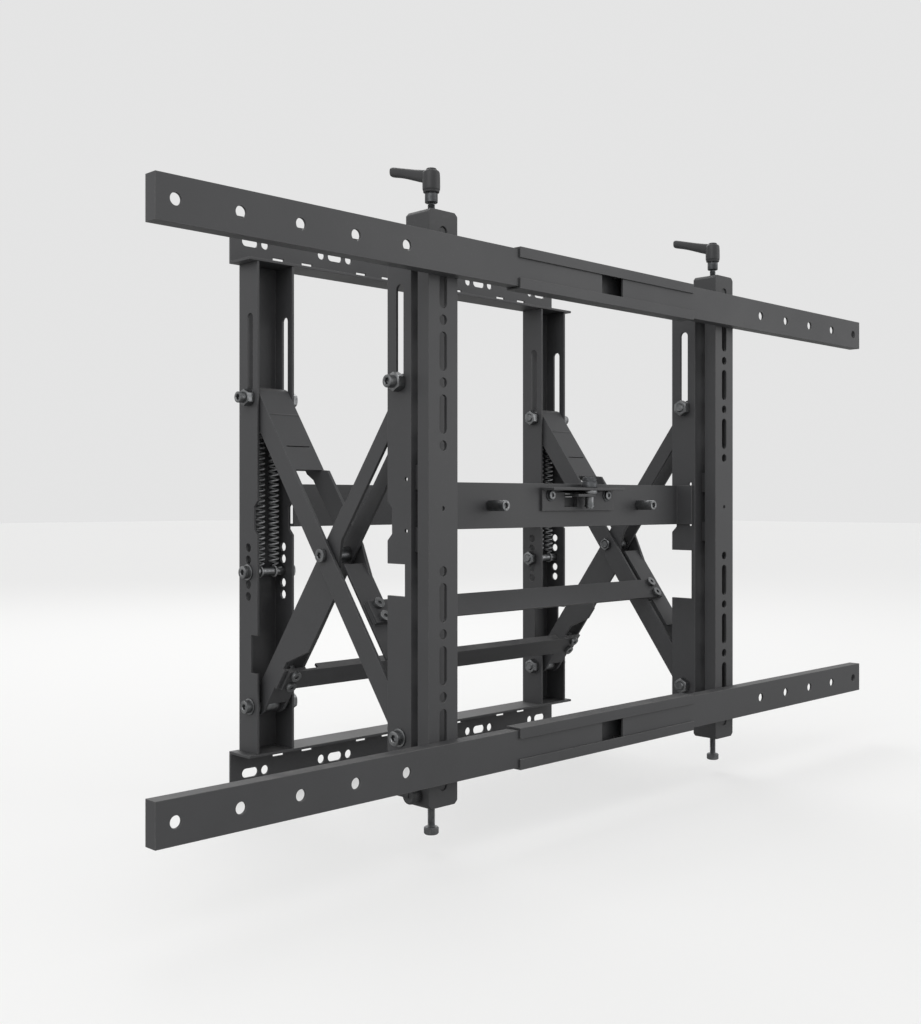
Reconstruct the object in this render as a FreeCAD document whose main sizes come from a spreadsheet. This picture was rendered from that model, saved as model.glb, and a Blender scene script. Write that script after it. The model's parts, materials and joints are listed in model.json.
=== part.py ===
import FreeCAD, Part
import Sketcher
import math
import os
import re

# Push-pull wall mount for one screen of a video wall.
# X is the width, Z is up, and the wall is the plane Y = 0 with the mount on its -Y side.
# The model stands fully drawn out, with the sliding pins at the bottom of their slots.

doc = FreeCAD.newDocument("push_pull_wall_mount")
sheet = doc.addObject("Spreadsheet::Sheet", "Sizes")

SIZES = [
    ("sheet_gauge", 2.5),
    ("arm_gauge", 3.0),
    ("wall_rail_length", 454.0),
    ("wall_rail_height", 46.0),
    ("wall_rail_depth", 32.5),
    ("wall_slot_spacing", 410.0),
    ("wall_hole_spacing", 376.0),
    ("wall_group_spacing", 206.0),
    ("wall_group_pitch", 17.3),
    ("wall_slot_length", 18.0),
    ("wall_hole_bore", 8.5),
    ("slit_length", 13.0),
    ("slit_width", 3.0),
    ("slit_pitch", 34.5),
    ("slit_lift", 9.0),
    ("upright_height", 454.0),
    ("upright_spacing", 393.0),
    ("upright_width", 42.0),
    ("upright_depth", 29.0),
    ("crossbar_height", 40.0),
    ("crossbar_lift", 2.0),
    ("crossbar_depth", 19.0),
    ("rear_axis_depth", 20.0),
    ("drawn_reach", 207.5),
    ("arm_length", 353.0),
    ("low_pin_drop", 184.0),
    ("fold_angle", 30.0),
    ("pin_bore", 8.0),
    ("pin_play", 0.08),
    ("slot_play", 0.3),
    ("slot_over", 9.0),
    ("outer_pair_width", 35.0),
    ("inner_pair_width", 25.0),
    ("strip_width", 22.0),
    ("strip_gauge", 2.5),
    ("strip_lip", 8.0),
    ("lip_inset", 5.0),
    ("strip_screw_step", 13.0),
    ("strip_screw_bore", 5.0),
    ("strip_head_bore", 10.0),
    ("strip_head_height", 3.5),
    ("strip_socket_bore", 4.0),
    ("strip_socket_depth", 2.0),
    ("strip_nut_bore", 9.0),
    ("strip_nut_height", 4.0),
    ("front_strip_rise", 109.0),
    ("front_tab_reach", 5.5),
    ("front_screw_shift", 4.0),
    ("rear_strip_reach", 8.0),
    ("rear_strip_rise", 42.5),
    ("web_face", 10.0),
    ("arm_back", 10.0),
    ("outer_web_low", 86.0),
    ("outer_swell", 16.5),
    ("outer_step", 5.5),
    ("outer_waist", 5.5),
    ("waist_low", 12.0),
    ("swell_step", 10.0),
    ("outer_taper", 30.0),
    ("low_web_play", 1.5),
    ("low_web_start", 16.0),
    ("low_web_end", 111.0),
    ("web_slit_inset", 1.5),
    ("web_slit_rise", 26.0),
    ("web_slit_width", 1.2),
    ("inner_back", 9.0),
    ("inner_neck", 7.5),
    ("inner_taper", 45.0),
    ("inner_swell", 29.0),
    ("inner_swell_top", 22.0),
    ("inner_swell_low", 86.0),
    ("right_swell", 24.0),
    ("hollow_top", 42.0),
    ("hollow_step", 5.0),
    ("hollow_depth", 19.0),
    ("hollow_low", 72.0),
    ("inner_web_low", 10.0),
    ("inner_web_top", 30.0),
    ("washer_gauge", 1.5),
    ("washer_bore", 15.0),
    ("nut_height", 6.0),
    ("nut_bore", 16.0),
    ("boss_bore", 10.5),
    ("boss_length", 6.2),
    ("head_bore", 12.0),
    ("head_length", 5.5),
    ("socket_bore", 5.8),
    ("socket_depth", 3.0),
    ("pin_over", 1.5),
    ("thin_head_length", 4.0),
    ("thin_nut_height", 4.0),
    ("thin_nut_bore", 13.0),
    ("upright_setback", 19.0),
    ("front_upright_depth", 28.5),
    ("front_axis_setback", 13.5),
    ("front_bar_depth", 8.0),
    ("small_hole_top", 23.5),
    ("small_hole_low", -18.0),
    ("small_hole_inset", 6.0),
    ("small_hole_bore", 3.5),
    ("notch_top", 44.7),
    ("bolt_notch_low", 70.5),
    ("bolt_notch_depth", 21.0),
    ("arm_notch_low", 94.0),
    ("arm_notch_depth", 24.0),
    ("web_column_shift", 6.5),
    ("hanger_tab_width", 18.0),
    ("hanger_tab_reach", 11.0),
    ("latch_gauge", 2.5),
    ("latch_window_left", -8.7),
    ("latch_window_right", 10.0),
    ("latch_window_low", 0.5),
    ("latch_window_top", 15.5),
    ("latch_screw_left", -28.4),
    ("latch_screw_right", 53.5),
    ("latch_screw_height", 11.5),
    ("latch_screw_bore", 4.0),
    ("latch_screw_over", 2.0),
    ("latch_head_bore", 8.5),
    ("latch_head_height", 3.0),
    ("latch_plate_left", -39.5),
    ("latch_plate_right", 64.0),
    ("latch_plate_low", -3.0),
    ("latch_shelf_height", 18.5),
    ("latch_shelf_reach", 14.0),
    ("latch_pivot_across", 18.5),
    ("latch_pivot_setback", 10.0),
    ("latch_pivot_bore", 5.0),
    ("latch_pivot_over", 11.0),
    ("latch_boss_radius", 6.0),
    ("latch_side_gap", 4.5),
    ("latch_drop", 3.2),
    ("latch_collar_bore", 8.0),
    ("latch_nib", 4.0),
    ("latch_nib_length", 6.0),
    ("latch_nib_flat", 2.0),
    ("latch_tip_reach", 23.6),
    ("latch_cap_bore", 10.0),
    ("latch_cap_height", 6.0),
    ("latch_nut_bore", 11.0),
    ("catch_window_play", 1.2),
    ("stud_spacing", 212.0),
    ("stud_reach", 20.0),
    ("stud_bore", 9.5),
    ("arm_spacing", 400.0),
    ("arm_width", 32.0),
    ("arm_depth", 13.0),
    ("arm_standoff", 6.0),
    ("stud_setback", 5.0),
    ("pad_play", 0.5),
    ("pad_low", 15.0),
    ("pad_top", 35.0),
    ("head_rest", 0.5),
    ("screen_hole_pitch", 50.0),
    ("screen_hole_bore", 8.5),
    ("arm_hole_bore", 8.0),
    ("arm_slot_length", 31.0),
    ("rail_spacing", 400.0),
    ("rail_height", 31.0),
    ("rail_depth", 12.2),
    ("rail_end", 465.0),
    ("rail_gap", 30.0),
    ("rail_lip", 5.0),
    ("rail_gauge", 2.2),
    ("fit_gap", 0.3),
    ("sleeve_length", 250.0),
    ("sleeve_gauge", 1.6),
    ("sleeve_lip", 9.0),
    ("head_height", 21.0),
    ("head_depth", 27.0),
    ("block_chamfer", 3.0),
    ("face_hole_rise", 4.0),
    ("face_hole_depth", 4.0),
    ("clamp_width", 24.0),
    ("clamp_head_height", 25.0),
    ("clamp_head_depth", 5.5),
    ("clamp_neck_height", 16.0),
    ("clamp_screw_bore", 6.0),
    ("clamp_cap_bore", 12.0),
    ("clamp_cap_height", 4.0),
    ("lift_travel", 8.0),
    ("lever_stud_bore", 6.0),
    ("lever_stud_rise", 8.0),
    ("lever_collar_bore", 10.4),
    ("lever_collar_height", 8.0),
    ("lever_hub_bore", 14.4),
    ("lever_hub_height", 20.0),
    ("lever_reach", 45.0),
    ("lever_rise_angle", 17.0),
    ("lever_thickness", 8.0),
    ("lever_bar_height", 7.0),
    ("lever_handle_drop", 5.0),
    ("thumb_drop", 18.0),
    ("thumb_head_bore", 12.0),
    ("thumb_head_height", 6.0),
    ("knob_bore", 14.0),
    ("knob_length", 9.0),
    ("knob_pin_bore", 5.0),
    ("knob_pin_length", 8.0),
    ("knob_bar_gauge", 4.0),
    ("knob_bar_height", 4.5),
    ("knob_bar_reach", 16.0),
    ("anchor_drop", 60.0),
    ("anchor_pitch", 11.3),
    ("anchor_hole_bore", 8.2),
    ("recess_top", 6.0),
    ("recess_low", -26.0),
    ("recess_depth", 5.5),
    ("strip_notch_top", 118.0),
    ("strip_notch_low", 153.0),
    ("strip_notch_depth", 10.0),
    ("anchor_depth", 17.0),
    ("spring_wire", 1.6),
    ("spring_width", 10.0),
    ("spring_spacing", 16.0),
    ("spring_turns", 24),
    ("seat_sleeve_bore", 14.0),
]

for row, (alias, value) in enumerate(SIZES, start=1):
    sheet.set(f"A{row}", alias)
    sheet.set(f"B{row}", str(value))
    sheet.setAlias(f"B{row}", alias)
doc.recompute()

ALIASES = {alias for alias, _ in SIZES}
WORD = re.compile(r"[A-Za-z_][A-Za-z_0-9]*")
X_AXIS, Y_AXIS, Z_AXIS = FreeCAD.Vector(1, 0, 0), FreeCAD.Vector(0, 1, 0), FreeCAD.Vector(0, 0, 1)
ALONG = {
    "x": FreeCAD.Rotation(Y_AXIS, 90),
    "y": FreeCAD.Rotation(X_AXIS, -90),
    "z": FreeCAD.Rotation(),
}
PLANE_ROLE = {"x": "YZ_Plane", "y": "XZ_Plane", "z": "XY_Plane"}
finished = []


def size(alias):
    """The value of one driving size, in mm."""
    return float(sheet.get(alias))


def bound(text):
    """An expression whose size names point at the sheet."""
    def point(match):
        word = match.group(0)
        return f"Sizes.{word}" if word in ALIASES else word
    return WORD.sub(point, str(text))


def bind(item, prop, text):
    item.setExpression(prop, bound(text))


def place(item, at, turn=None):
    """Puts an object's base at three expressions, turned by a fixed rotation."""
    if turn is not None:
        item.Placement = FreeCAD.Placement(FreeCAD.Vector(0, 0, 0), turn)
    for axis, text in zip("xyz", at):
        bind(item, f"Placement.Base.{axis}", text)
    return item


def block(name, xs, ys, zs):
    """A box between a low and a high expression on each axis."""
    box = doc.addObject("Part::Box", name)
    for prop, (low, high) in zip(("Length", "Width", "Height"), (xs, ys, zs)):
        bind(box, prop, f"({high}) - ({low})")
    return place(box, (xs[0], ys[0], zs[0]))


def rod(name, axis, at, bore, length):
    """A round bar from the point `at`, running along one axis; `bore` is its diameter."""
    bar = doc.addObject("Part::Cylinder", name)
    bind(bar, "Radius", f"({bore}) / 2")
    bind(bar, "Height", length)
    return place(bar, at, ALONG[axis])


def nut(name, axis, at, bore, length):
    """A hexagon bar, `bore` across its corners."""
    bar = doc.addObject("Part::Prism", name)
    bar.Polygon = 6
    bind(bar, "Circumradius", f"({bore}) / 2")
    bind(bar, "Height", length)
    return place(bar, at, ALONG[axis])


def fuse(name, pieces):
    joined = doc.addObject("Part::MultiFuse", name)
    joined.Shapes = pieces
    joined.Refine = True
    return joined


def group(name, pieces):
    """Separate solids that share one node."""
    compound = doc.addObject("Part::Compound", name)
    compound.Links = pieces
    return compound


def cut(name, base, tools):
    removed = tools[0] if len(tools) == 1 else group(f"{name}_cutters", tools)
    result = doc.addObject("Part::Cut", name)
    result.Base = base
    result.Tool = removed
    return result


def mirror(name, source, normal=X_AXIS):
    """The same piece on the other side of a middle plane."""
    copy = doc.addObject("Part::Mirroring", name)
    copy.Source = source
    copy.Base = FreeCAD.Vector(0, 0, 0)
    copy.Normal = normal
    return copy


def slot(name, axis, centre, along, length, bore, depth):
    """A cutter with round ends, starting at `centre` and running `depth` along `axis`."""
    step = f"(({length}) - ({bore})) / 2"
    index = "xyz".index(along)
    ends = []
    for sign, end in (("-", "low"), ("+", "high")):
        at = list(centre)
        at[index] = f"({centre[index]}) {sign} {step}"
        ends.append(rod(f"{name}_{end}", axis, at, bore, depth))
    spans = []
    for number, letter in enumerate("xyz"):
        middle = centre[number]
        if letter == axis:
            spans.append((middle, f"({middle}) + ({depth})"))
        elif letter == along:
            spans.append((f"({middle}) - {step}", f"({middle}) + {step}"))
        else:
            spans.append((f"({middle}) - ({bore}) / 2", f"({middle}) + ({bore}) / 2"))
    return fuse(name, ends + [block(f"{name}_mid", *spans)])


def amount(text):
    """The number that an expression of sizes comes to."""
    plain = WORD.sub(lambda word: str(size(word[0])) if word[0] in ALIASES else word[0], text)
    return FreeCAD.Units.Quantity(plain).Value


def pin_point(sketch, item, end, across, up):
    """Ties one point of a sketch to two expressions, measured from the sketch's origin."""
    for kind, text in (("DistanceX", across), ("DistanceY", up)):
        number = sketch.addConstraint(Sketcher.Constraint(kind, -1, 1, item, end, amount(text)))
        bind(sketch, f"Constraints[{number}]", text)


def profile(name, axis, outline, start, depth, holes=()):
    """A flat plate padded along `axis` from `start`: a closed outline with round (across, up, bore) holes."""
    body = doc.addObject("PartDesign::Body", name)
    sketch = body.newObject("Sketcher::SketchObject", f"{name}_outline")
    origin = [f for f in body.Origin.OriginFeatures if f.Role == PLANE_ROLE[axis]][0]
    sketch.AttachmentSupport = [(origin, "")]
    sketch.MapMode = "FlatFace"
    corners = [FreeCAD.Vector(amount(across), amount(up), 0) for across, up in outline]
    count = len(corners)
    for i in range(count):
        sketch.addGeometry(Part.LineSegment(corners[i], corners[(i + 1) % count]))
    for i in range(count):
        sketch.addConstraint(Sketcher.Constraint("Coincident", i, 2, (i + 1) % count, 1))
    for i, (across, up) in enumerate(outline):
        pin_point(sketch, i, 1, across, up)
    for across, up, bore in holes:
        middle = FreeCAD.Vector(amount(across), amount(up), 0)
        circle = sketch.addGeometry(Part.Circle(middle, Z_AXIS, amount(bore) / 2))
        pin_point(sketch, circle, 3, across, up)
        number = sketch.addConstraint(Sketcher.Constraint("Radius", circle, amount(bore) / 2))
        bind(sketch, f"Constraints[{number}]", f"({bore}) / 2")
    pad = body.newObject("PartDesign::Pad", f"{name}_pad")
    pad.Profile = sketch
    bind(pad, "Length", depth)
    body.Tip = pad
    bind(body, f"Placement.Base.{axis}", start)
    return body


def finish(item, node):
    """Marks an object as one node of the mount, under the name that its file gets."""
    item.Label = node
    finished.append((node, item))
    return item


def both(source, node):
    """Finishes the left piece and its mirror image as two nodes."""
    finish(source, f"{node}_left")
    return source, finish(mirror(f"{node}_other", source), f"{node}_right")


def both_in_one(pieces, node):
    """Puts the left pieces and their mirror images in one node of separate solids."""
    left = group(f"{node}_near", pieces)
    return finish(group(node, pieces + [mirror(f"{node}_far", left)]), node)


# Places that several pieces share, as expressions. The left side is built and mirrored, but for the arms.
MID = "-upright_spacing / 2"
OUTER_FACE = "-upright_spacing / 2 - upright_width / 2"
INNER_FACE = "-upright_spacing / 2 + upright_width / 2"
REAR_AXIS = "-rear_axis_depth"
FRONT_AXIS = "-rear_axis_depth - drawn_reach"
LOW_PIN = "-low_pin_drop"
TOP_PIN = "-low_pin_drop + sqrt(arm_length ^ 2 - drawn_reach ^ 2)"
CROSS_DEPTH = "-rear_axis_depth - drawn_reach / 2"
CROSS_HEIGHT = "-low_pin_drop + sqrt(arm_length ^ 2 - drawn_reach ^ 2) / 2"
FOLDED_TOP_PIN = "-low_pin_drop + arm_length * cos(asin(drawn_reach / arm_length) - fold_angle * 1 deg)"


def wall_rail():
    """The top rail: an angle strip on the wall, its lower edge folded forward, slotted for wall screws."""
    inner = "upright_height / 2"
    centre = "upright_height / 2 + wall_rail_height / 2"
    half = "wall_rail_length / 2"
    holes = []
    for sign in ("-", ""):
        holes.append((f"{sign} wall_hole_spacing / 2", centre, "wall_hole_bore"))
        for step in ("-", "+"):
            holes.append((f"{sign} wall_group_spacing / 2 {step} wall_group_pitch", centre, "wall_hole_bore"))
    outline = [(f"-{half}", inner), (half, inner), (half, f"{inner} + wall_rail_height"),
               (f"-{half}", f"{inner} + wall_rail_height")]
    web = profile("wall_rail_web", "y", outline, "0", "sheet_gauge", holes)
    flange = block("wall_rail_flange", (f"-{half}", half), ("-wall_rail_depth", "0"),
                   (inner, f"{inner} + sheet_gauge"))
    cutters = []
    for sign, side in (("-", "left"), ("", "right")):
        for spacing, kind in (("wall_slot_spacing", "end"), ("wall_group_spacing", "mid")):
            at = (f"{sign} {spacing} / 2", "-sheet_gauge", centre)
            cutters.append(slot(f"wall_slot_{kind}_{side}", "y", at, "x", "wall_slot_length",
                                "wall_hole_bore", "sheet_gauge"))
        for number in (1, 2, 4, 5):
            middle = f"{sign} {number} * slit_pitch"
            cutters.append(block(f"wall_slit_{number}_{side}",
                                 (f"{middle} - slit_length / 2", f"{middle} + slit_length / 2"),
                                 ("-sheet_gauge", "0"),
                                 (f"{inner} + slit_lift", f"{inner} + slit_lift + slit_width")))
    top = finish(cut("wall_rail_cut", fuse("wall_rail_fold", [web, flange]), cutters), "wall_rail_top")
    finish(mirror("wall_rail_mirror", top, Z_AXIS), "wall_rail_bottom")


def wall_upright():
    """A channel between the rails, open to the front, in which the arms' rear ends are pinned and slide."""
    back, front = "-sheet_gauge", "-sheet_gauge - upright_depth"
    half = "upright_height / 2"
    outline = [
        (back, f"-{half}"), (back, half), (front, half), (front, "recess_top"),
        (f"{front} + recess_depth", "recess_top - recess_depth"),
        (f"{front} + recess_depth", "recess_low + recess_depth"), (front, "recess_low"),
        (front, "-strip_notch_top"), (f"{front} + strip_notch_depth", "-strip_notch_top"),
        (f"{front} + strip_notch_depth", "-strip_notch_low"), (front, "-strip_notch_low"),
        (front, f"-{half}"),
    ]
    holes = [(REAR_AXIS, LOW_PIN, "pin_bore + 2 * pin_play")]
    for step in (-2, -1, 0, 1, 2):
        holes.append(("-anchor_depth", f"-anchor_drop + {step} * anchor_pitch", "anchor_hole_bore"))
    for side, low in (("outer", OUTER_FACE), ("inner", f"{INNER_FACE} - sheet_gauge")):
        flange = profile(f"wall_flange_{side}", "x", outline, low, "sheet_gauge", holes)
        pin_slot = rear_slot(f"wall_pin_slot_{side}", low, REAR_AXIS)
        yield cut(f"wall_flange_{side}_cut", flange, [pin_slot])
    yield block("wall_upright_web", (OUTER_FACE, INNER_FACE), (f"{back} - sheet_gauge", back),
                (f"-{half}", half))


def rear_slot(name, low, depth):
    """The long slot in which a sliding pin rises as the scissor folds."""
    play = "slot_play"
    bore = f"pin_bore + 2 * {play}"
    bottom = f"({TOP_PIN}) - pin_bore / 2 - {play}"
    top = f"({FOLDED_TOP_PIN}) + pin_bore / 2 + slot_over"
    return slot(name, "x", (low, depth, f"(({bottom}) + ({top})) / 2"), "z", f"({top}) - ({bottom})", bore,
                "sheet_gauge")


wall_rail()
both(fuse("wall_upright", list(wall_upright())), "wall_upright")


def crossbar(name, front, depth, height_shift="crossbar_lift"):
    """A shallow channel across the mount, its lips turned back to the wall."""
    ends = (INNER_FACE, f"-({INNER_FACE})")
    low = f"{height_shift} - crossbar_height / 2"
    high = f"{height_shift} + crossbar_height / 2"
    web = block(f"{name}_web", ends, (front, f"{front} + sheet_gauge"), (low, high))
    lips = [
        block(f"{name}_lip_low", ends, (front, f"{front} + {depth}"), (low, f"{low} + sheet_gauge")),
        block(f"{name}_lip_high", ends, (front, f"{front} + {depth}"), (f"{high} - sheet_gauge", high)),
    ]
    return fuse(f"{name}_fold", [web] + lips)


def lean(item, side):
    """Swings a piece drawn along its arm to the arm's slope, about the crossing bolt."""
    item.Placement = FreeCAD.Placement(FreeCAD.Vector(0, 0, 0), FreeCAD.Rotation(side * X_AXIS, 30))
    bind(item, "Placement.Rotation.Angle", "asin(drawn_reach / arm_length)")
    bind(item, "Placement.Base.y", CROSS_DEPTH)
    bind(item, "Placement.Base.z", CROSS_HEIGHT)
    return item


PIN_HOLE = "pin_bore + 2 * pin_play"
HALF_ARM = "arm_length / 2"


def arm_plate(name, low, outline, end_bore):
    """One side plate of an arm: its outline, its round ends and the holes for its three pins."""
    flat = profile(f"{name}_flat", "x", outline, low, "arm_gauge")
    ends = [rod(f"{name}_end_{word}", "x", (low, "0", f"{sign} {HALF_ARM}"), end_bore, "arm_gauge")
            for sign, word in (("-", "low"), ("", "top"))]
    holes = [rod(f"{name}_hole_{word}", "x", (low, "0", height), PIN_HOLE, "arm_gauge")
             for word, height in (("low", f"-{HALF_ARM}"), ("mid", "0"), ("top", HALF_ARM))]
    return cut(name, fuse(f"{name}_whole", [flat] + ends), holes)


def strip_holes(name, across, rise, start, depth):
    """The two screw holes at one end of a strip or of the tab that it is screwed to."""
    return [rod(f"{name}_{word}", "y", (across, start, f"-{HALF_ARM} + {rise} {sign} strip_screw_step / 2"),
                "strip_screw_bore + 2 * pin_play", depth) for sign, word in (("-", "low"), ("+", "top"))]


def outer_arm(side, middle):
    """An arm from the rear top pin to the front low pin: two wide-set plates and the webs that join them.

    The right arm is the left one moved across, but for the tab, which lies on the inner side of both.
    """
    edge = "-web_face"
    straight = [("arm_back", f"-{HALF_ARM}"), ("arm_back", HALF_ARM), (edge, HALF_ARM),
                (edge, f"-{HALF_ARM}")]
    waisted = [("arm_back", f"-{HALF_ARM}"), ("arm_back", "waist_low"),
               ("outer_waist", "waist_low + swell_step"), ("outer_waist", "outer_web_low"),
               ("arm_back", "outer_web_low + swell_step"), ("arm_back", HALF_ARM), (edge, HALF_ARM),
               (edge, "outer_web_low"), ("-outer_swell", "outer_web_low - outer_step"),
               ("-outer_swell", "0"), (edge, "-outer_taper"), (edge, f"-{HALF_ARM}")]
    name = f"outer_{side}"
    near = f"({middle}) - outer_pair_width / 2"
    far = f"({middle}) + outer_pair_width / 2"
    plates = [arm_plate(f"{name}_near", near, straight, "2 * web_face"),
              arm_plate(f"{name}_far", f"{far} - arm_gauge", waisted, "2 * web_face")]
    thick = (edge, f"{edge} + sheet_gauge")
    web = block(f"{name}_web", (near, far), thick, ("outer_web_low", HALF_ARM))
    low_web_near = f"({middle}) - inner_pair_width / 2 + arm_gauge + low_web_play"
    low_web = block(f"{name}_low_web", (low_web_near, far), thick, ("-low_web_end", "-low_web_start"))
    top, bore = (near, "0", HALF_ARM), "2 * web_face - 2 * sheet_gauge"
    across, reach = (near, far), "2 * web_face"
    cap = cut(f"{name}_cap", rod(f"{name}_cap_round", "x", top, reach, "outer_pair_width"),
              [rod(f"{name}_cap_bore", "x", top, bore, "outer_pair_width"),
               block(f"{name}_cap_low", across, (f"-{reach}", reach), ("0", HALF_ARM)),
               block(f"{name}_cap_back", across, ("0", reach), ("0", f"{HALF_ARM} + {reach}"))])
    slit_near, slit_far = f"{near} + arm_gauge + web_slit_inset", f"{far} - arm_gauge - web_slit_inset"
    slit_low = "outer_web_low + web_slit_rise"
    slit = block(f"{name}_slit", (slit_near, slit_far), thick, (slit_low, f"{slit_low} + web_slit_width"))
    rise = f"-{HALF_ARM} + front_strip_rise"
    screw = {"left": f"({middle}) + front_screw_shift", "right": f"({middle}) - front_screw_shift"}[side]
    span = {"left": (f"({middle}) - front_tab_reach", far), "right": (near, f"({middle}) + front_tab_reach")}
    tab = block(f"{name}_tab", span[side], (f"{edge} - sheet_gauge", edge),
                (f"{rise} - strip_width / 2", f"{rise} + strip_width / 2"))
    holes = strip_holes(f"{name}_tab_hole", screw, "front_strip_rise", f"{edge} - sheet_gauge",
                        "2 * sheet_gauge")
    whole = cut(f"{name}_cut", fuse(f"{name}_fold", plates + [web, low_web, cap, tab]), holes + [slit])
    finish(lean(whole, -1), f"outer_arm_{side}")


def inner_arm(side, middle):
    """An arm from the front top pin to the rear low pin, nested between the plates of the outer arm.

    Its wide plate is on the left of both arms. On the right one it is a little narrower, with a hollow that
    clears the front strip when the mount is closed.
    """
    edge, low = "-web_face", f"-{HALF_ARM}"
    narrow = [("inner_back", low), ("inner_back", "inner_taper"), ("inner_neck", "inner_taper + swell_step"),
              ("inner_neck", HALF_ARM), ("-inner_neck", HALF_ARM), ("-inner_neck", "inner_swell_top")]
    swell = {"left": "inner_swell", "right": "right_swell"}[side]
    hollow = {"left": [], "right": [
        (f"-{swell}", "-hollow_top"), ("-hollow_depth", "-hollow_top - hollow_step"),
        ("-hollow_depth", "-hollow_low + hollow_step"), (f"-{swell}", "-hollow_low")]}[side]
    wide = narrow + [(f"-{swell}", "-inner_swell_top")] + hollow + [
        (f"-{swell}", "-inner_swell_low"), (edge, f"-inner_swell_low - {swell}"), (edge, low)]
    narrow = narrow + [(edge, "-inner_swell_low"), (edge, low)]
    name = f"inner_{side}"
    near = f"({middle}) - inner_pair_width / 2"
    far = f"({middle}) + inner_pair_width / 2"
    plates = [arm_plate(f"{name}_near", near, wide, "2 * inner_back"),
              arm_plate(f"{name}_far", f"{far} - arm_gauge", narrow, "2 * inner_back")]
    web = block(f"{name}_web", (near, far), (edge, f"{edge} + sheet_gauge"),
                (f"{low} + inner_web_low", f"{low} + inner_web_top"))
    rise = f"{low} + rear_strip_rise"
    tab = block(f"{name}_tab", (near, far), (f"{edge} - sheet_gauge", edge),
                (f"{rise} - strip_width / 2", f"{rise} + strip_width / 2"))
    holes = strip_holes(f"{name}_tab_hole", f"({middle})", "rear_strip_rise", f"{edge} - sheet_gauge",
                        "sheet_gauge")
    whole = cut(f"{name}_cut", fuse(f"{name}_fold", plates + [web, tab]), holes)
    finish(lean(whole, 1), f"inner_arm_{side}")


def strip(node, end, rise, screw, grip, side):
    """A flat strip with a turned-back lip that ties the left arm to the right one, and its end screws.

    `grip` is the thickness of arm that the screws hold the strip to.
    """
    face = "-web_face - sheet_gauge - strip_gauge"
    low = f"-{HALF_ARM} + {rise} - strip_width / 2"
    high = f"-{HALF_ARM} + {rise} + strip_width / 2"
    flat = block(f"{node}_flat", (end, f"-({end})"), (face, f"{face} + strip_gauge"), (low, high))
    lip_end = f"({INNER_FACE}) + lip_inset"
    lip = block(f"{node}_lip", (lip_end, f"-({lip_end})"), (face, f"{face} + strip_lip"),
                (f"{high} - strip_gauge", high))
    holes = []
    for word, across in (("left", screw), ("right", f"-({screw})")):
        holes += strip_holes(f"{node}_hole_{word}", across, rise, face, "strip_gauge")
    finish(lean(cut(f"{node}_cut", fuse(f"{node}_fold", [flat, lip]), holes), side), node)
    screws = []
    for word, across in (("left", screw), ("right", f"-({screw})")):
        for sign, level in (("-", "low"), ("+", "top")):
            height = f"-{HALF_ARM} + {rise} {sign} strip_screw_step / 2"
            screws.append(strip_screw(f"{node}_screw_{word}_{level}", across, face, height, grip))
    finish(lean(group(f"{node}_screw_group", screws), side), f"{node}_screws")


def strip_screw(name, across, face, height, grip):
    """A round-headed screw through a strip and the arm behind it, with its nut."""
    head = rod(f"{name}_head", "y", (across, f"{face} - strip_head_height", height), "strip_head_bore",
               "strip_head_height")
    shaft = rod(f"{name}_shaft", "y", (across, face, height), "strip_screw_bore",
                f"strip_gauge + {grip} + strip_nut_height")
    back = nut(f"{name}_nut", "y", (across, f"{face} + strip_gauge + {grip}", height), "strip_nut_bore",
               "strip_nut_height")
    socket = nut(f"{name}_socket", "y", (across, f"{face} - strip_head_height", height), "strip_socket_bore",
                 "strip_socket_depth")
    return cut(name, fuse(f"{name}_whole", [head, shaft, back]), [socket])


def bolt(name, at, low, high, head_bore, head_length):
    """A pin along X with a round head at its outer end; `low` is under the head, `high` the far end."""
    depth, height = at
    head = rod(f"{name}_head", "x", (f"({low}) - ({head_length})", depth, height), head_bore, head_length)
    shaft = rod(f"{name}_shaft", "x", (low, depth, height), "pin_bore", f"({high}) - ({low})")
    socket = nut(f"{name}_socket", "x", (f"({low}) - ({head_length})", depth, height), "socket_bore",
                 "socket_depth")
    return cut(name, fuse(f"{name}_whole", [head, shaft]), [socket])


def ring(name, at, low, high, bore, hexagon=False):
    """A washer, sleeve or nut around a pin."""
    depth, height = at
    make = nut if hexagon else rod
    solid = make(f"{name}_solid", "x", (low, depth, height), bore, f"({high}) - ({low})")
    hole = rod(f"{name}_hole", "x", (low, depth, height), PIN_HOLE, f"({high}) - ({low})")
    return cut(name, solid, [hole])


def slide_pin(node, at, pair_width, gap_face, mid_bore):
    """The pin at an arm's top end, whose ends slide in an upright's slots."""
    outer, inner = f"({OUTER_FACE}) - slot_play", f"({INNER_FACE}) + slot_play"
    washer_out, washer_in = f"{outer} - washer_gauge", f"{inner} + washer_gauge"
    nut_out, nut_in = f"{washer_out} - nut_height", f"{washer_in} + nut_height"
    shaft = bolt(f"{node}_bolt", at, nut_out, f"{nut_in} + pin_over", "boss_bore", "boss_length")
    near, far = f"({MID}) - {pair_width} / 2", f"({MID}) + {pair_width} / 2"
    rings = [
        ring(f"{node}_nut_out", at, nut_out, washer_out, "nut_bore", True),
        ring(f"{node}_washer_out", at, washer_out, outer, "washer_bore"),
        ring(f"{node}_washer_in", at, inner, washer_in, "washer_bore"),
        ring(f"{node}_nut_in", at, washer_in, nut_in, "nut_bore", True),
    ]
    sleeves = [
        ring(f"{node}_sleeve_out", at, f"({OUTER_FACE}) + sheet_gauge + slot_play", near, gap_face),
        ring(f"{node}_sleeve_mid", at, f"{near} + arm_gauge", f"{far} - arm_gauge", mid_bore),
        ring(f"{node}_sleeve_in", at, far, f"({INNER_FACE}) - sheet_gauge - slot_play", gap_face),
    ]
    both_in_one([shaft], f"{node}_bolts")
    both_in_one(rings, f"{node}_nuts")
    both_in_one(sleeves, f"{node}_sleeves")


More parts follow.
